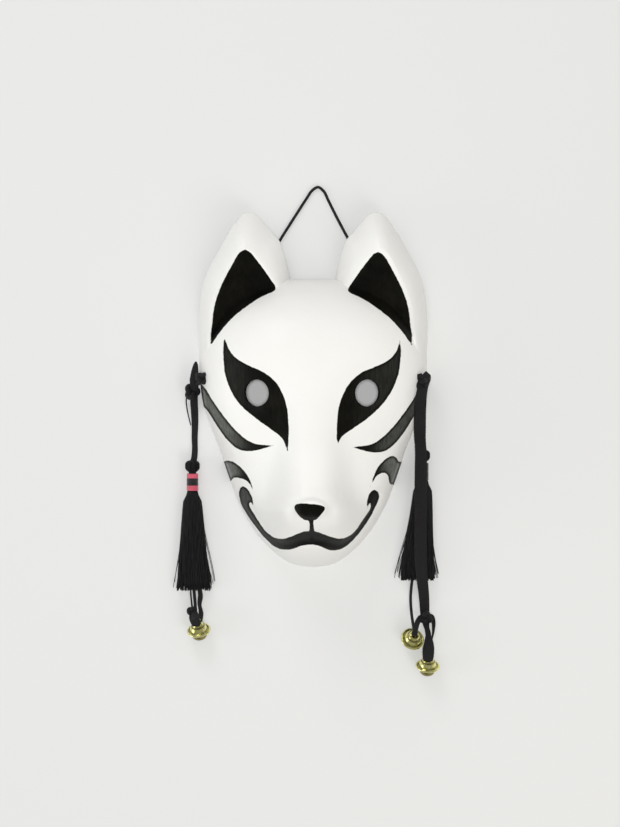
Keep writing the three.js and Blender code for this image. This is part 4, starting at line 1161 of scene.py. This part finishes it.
ribbon_material = braid_material("black_ribbon", (0.004, 0.0038, 0.004), (0.026, 0.024, 0.025), 0.9)
left_line = through(LEFT_RIBBON, 150)
left_ribbon = add_object("left_ribbon_braid",
                         *ribbon_arrays(left_line, LEFT_RIBBON_WIDTHS, RIBBON_THICKNESS),
                         [ribbon_material])
right_line = through(RIGHT_RIBBON, 420)
right_ribbon = add_object("right_ribbon_braid",
                          *ribbon_arrays(right_line, RIGHT_RIBBON_WIDTHS, RIBBON_THICKNESS),
                          [ribbon_material])
left_bell_line = through(LEFT_BELL_CORD, 90)
left_bell_braid = round_braid(left_bell_line, BELL_CORD_DIAMETER, pitch=3.4)
left_bell_cord = add_object("left_bell_cord_braid", *tube_arrays(left_bell_line, left_bell_braid),
                            [cord_material])
right_bell_line = through(RIGHT_BELL_CORD, 110)
right_bell_braid = round_braid(right_bell_line, CORD_DIAMETER, pitch=3.6)
right_bell_cord = add_object("right_bell_cord_braid", *tube_arrays(right_bell_line, right_bell_braid),
                             [cord_material])

left_knot = add_knot("left_ribbon_knot", [
    knot((-76.4, 131.8, 19), 6.4, 1.7, 0.8, 0.3, 0.3),
    knot((-84.4, 122.4, 6.4), 8.6, 1.8, 0.7, 1.6, 0.1),
    tail([(-82.4, 124, 9), (-82.5, 130, 10), (-82.1, 136, 9.6), (-81.7, 140, 8.8), (-81.4, 143.2, 7.8)],
         [(0, 5.4), (0.35, 6.4), (0.7, 4.8), (0.9, 3.2), (1, 1.4)], 1.3),
    tail([(-74.6, 133, 8), (-78.5, 133, 8), (-81.4, 132.8, 8.2), (-82.6, 131, 8.2)],
         [(0, 3), (1, 3.4)], 1.2),
    tail([(-81.8, 134, 10.4), (-79.8, 133.6, 15), (-77, 132.4, 18.6)],
         [(0, 3.4), (0.5, 4), (1, 3.4)], 1.2),
    tail([(-81, 128.6, 10), (-79.6, 128.4, 14), (-76.6, 129.6, 18)],
         [(0, 3), (0.5, 3.4), (1, 2.6)], 1.2),
    tail([(-87.2, 121, 5.5), (-88.5, 117, 2.6), (-88.1, 111, 0.8), (-86.8, 104.5, 0.7), (-85.4, 99, 0.7)],
         [(0, 1.0), (1, 0.7)], 0.7),
], ribbon_material)
right_knot = add_knot("right_ribbon_knot", [
    knot((75.6, 127.4, 21.6), 6.4, 1.8, 0.8, 0.4, 0.4),
    tail([(74.6, 133, 8), (78.6, 133, 8), (80.3, 132.9, 8.8), (80.6, 132.2, 12), (79.8, 131, 16.6),
          (77.2, 129, 20.6)], [(0, 3), (0.4, 3.2), (1, 4)], 1.2),
    tail([(76.2, 128, 22), (77.4, 131.2, 21), (79.2, 133.8, 19.4), (80.2, 134.9, 18.6)],
         [(0, 4.4), (0.6, 5.6), (1, 4.6)], 1.2),
    tail([(75.6, 128, 22.4), (75, 131, 23.4), (74, 133.4, 23.8), (73.6, 134.6, 23.8)],
         [(0, 4.4), (0.6, 5), (1, 3.6)], 1.2),
], ribbon_material)
bow_knot = add_knot("right_bow_knot", [
    knot((79, -35.4, 3.6), 6.8, 1.7, 0.7, 0.9, 0.2),
    tail([(77.6, -35, 3.6), (75.2, -35.6, 4.2), (73.2, -38, 8), (71.8, -41.6, 13.4), (70.6, -46, 17.4)],
         [(0, 4.2), (0.5, 3.6), (0.8, 3.6), (1, 4.4)]),
    tail([(80.6, -34, 3.4), (83.2, -35, 2.6), (84.4, -39, 1.8), (84.3, -44.6, 1.4), (83.4, -50.6, 1)],
         [(0, 3.8), (0.4, 2.8), (0.8, 1.6), (1, 0.8)]),
], ribbon_material)
left_bell_knot = add_knot("left_bell_knot", [
    knot((-84.2, -31, 3.6), 5.4, 1.3, 0.9, 0.5, 0.4),
    tail([(-85.2, -14.6, 4), (-85.4, -19, 1.6), (-84.8, -25, 1.4), (-84.2, -30, 3)],
         [(0, 1.1), (1, 1.3)]),
    tail([(-79.4, -14.6, 4), (-78.6, -20, 1.6), (-79.2, -26, 1.8), (-78, -32, 6), (-77.6, -37.4, 12.4)],
         [(0, 3), (0.3, 3.6), (0.5, 2.6), (0.75, 3.4), (1, 1.8)]),
    tail([(-84.6, -32, 4), (-84.9, -35, 6), (-83.8, -38, 10.6), (-82.6, -40, 13)],
         [(0, 2.8), (0.5, 2.8), (1, 2.4)]),
    tail([(-82.8, -30.6, 5.4), (-81.9, -33.6, 12), (-81.1, -36.4, 16), (-80.6, -40.4, 15.8)],
         [(0, 3.4), (0.5, 6), (1, 5.6)]),
], cord_material)

for ribbon, node, line, length, width, pieces in (
    (left_ribbon, "left_ribbon", left_line, 0.059, 0.0054, [left_knot, tassels["left"], bindings["left"]]),
    (right_ribbon, "right_ribbon", right_line, 0.213, 0.0084,
     [right_knot, bow_knot, tassels["right"], bindings["right"], bells["right_lower_bell"]]),
    (left_bell_cord, "left_bell_cord", left_bell_line, 0.035, 0.0022, [left_bell_knot, bells["left_bell"]]),
    (right_bell_cord, "right_bell_cord", right_bell_line, 0.048, 0.002, [bells["right_upper_bell"]]),
):
    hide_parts(node)
    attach(ribbon, "root")


# Floor and studio light: a pale plain floor under a main lamp high above the camera, with soft lamps at
# both sides and beyond the ears, a fill beyond the chin, and pale light from all round. The main lamp and
# the fill leave no glint on the lacquer.

FLOOR_HALF_SIZE = 3
# Each lamp: its name, place, size, power, colour, and whether its glint is seen.
LAMPS = [
    ("key", (-0.5, 1.3, 0.9), 0.8, 5, (1, 1, 1), True),
    ("left_side", (-1.3, -0.35, 0.3), 0.9, 4, (0.98, 1, 1), True),
    ("right_side", (1.3, -0.2, 0.3), 0.9, 0.6, (1, 0.86, 0.66), True),
    ("low_fill", (0.8, -1.1, 1.1), 0.9, 5.6, (1, 0.96, 0.88), False),
    ("front", (0.02, -0.02, 2.5), 0.22, 33.5, (1, 0.998, 0.99), False),
]

floor_corners = np.array([(-1, -1, 0), (1, -1, 0), (1, 1, 0), (-1, 1, 0)], float) * FLOOR_HALF_SIZE
floor_material, floor_tree, floor_shader = new_material("pale_floor")
floor_shader.inputs["Base Color"].default_value = (0.725, 0.73, 0.73, 1)
floor_shader.inputs["Roughness"].default_value = 0.9
floor_shader.inputs["Specular IOR Level"].default_value = 0.1
floor = add_object("floor", floor_corners, [[0, 1, 2, 3]], [floor_material])

for name, place, size, power, colour, glint in LAMPS:
    lamp = bpy.data.lights.new(name, "AREA")
    lamp.shape, lamp.size, lamp.energy, lamp.color = "DISK", size, power, colour
    light = bpy.data.objects.new(name, lamp)
    light.location = place
    light.rotation_euler = (-Vector(place)).to_track_quat("-Z", "Y").to_euler()
    light.visible_glossy = glint
    bpy.context.scene.collection.objects.link(light)
world = bpy.data.worlds.new("studio")
bpy.context.scene.world = world
world.use_nodes = True
world.node_tree.nodes["Background"].inputs[0].default_value = (1, 0.985, 0.96, 1)
world.node_tree.nodes["Background"].inputs[1].default_value = 0.34
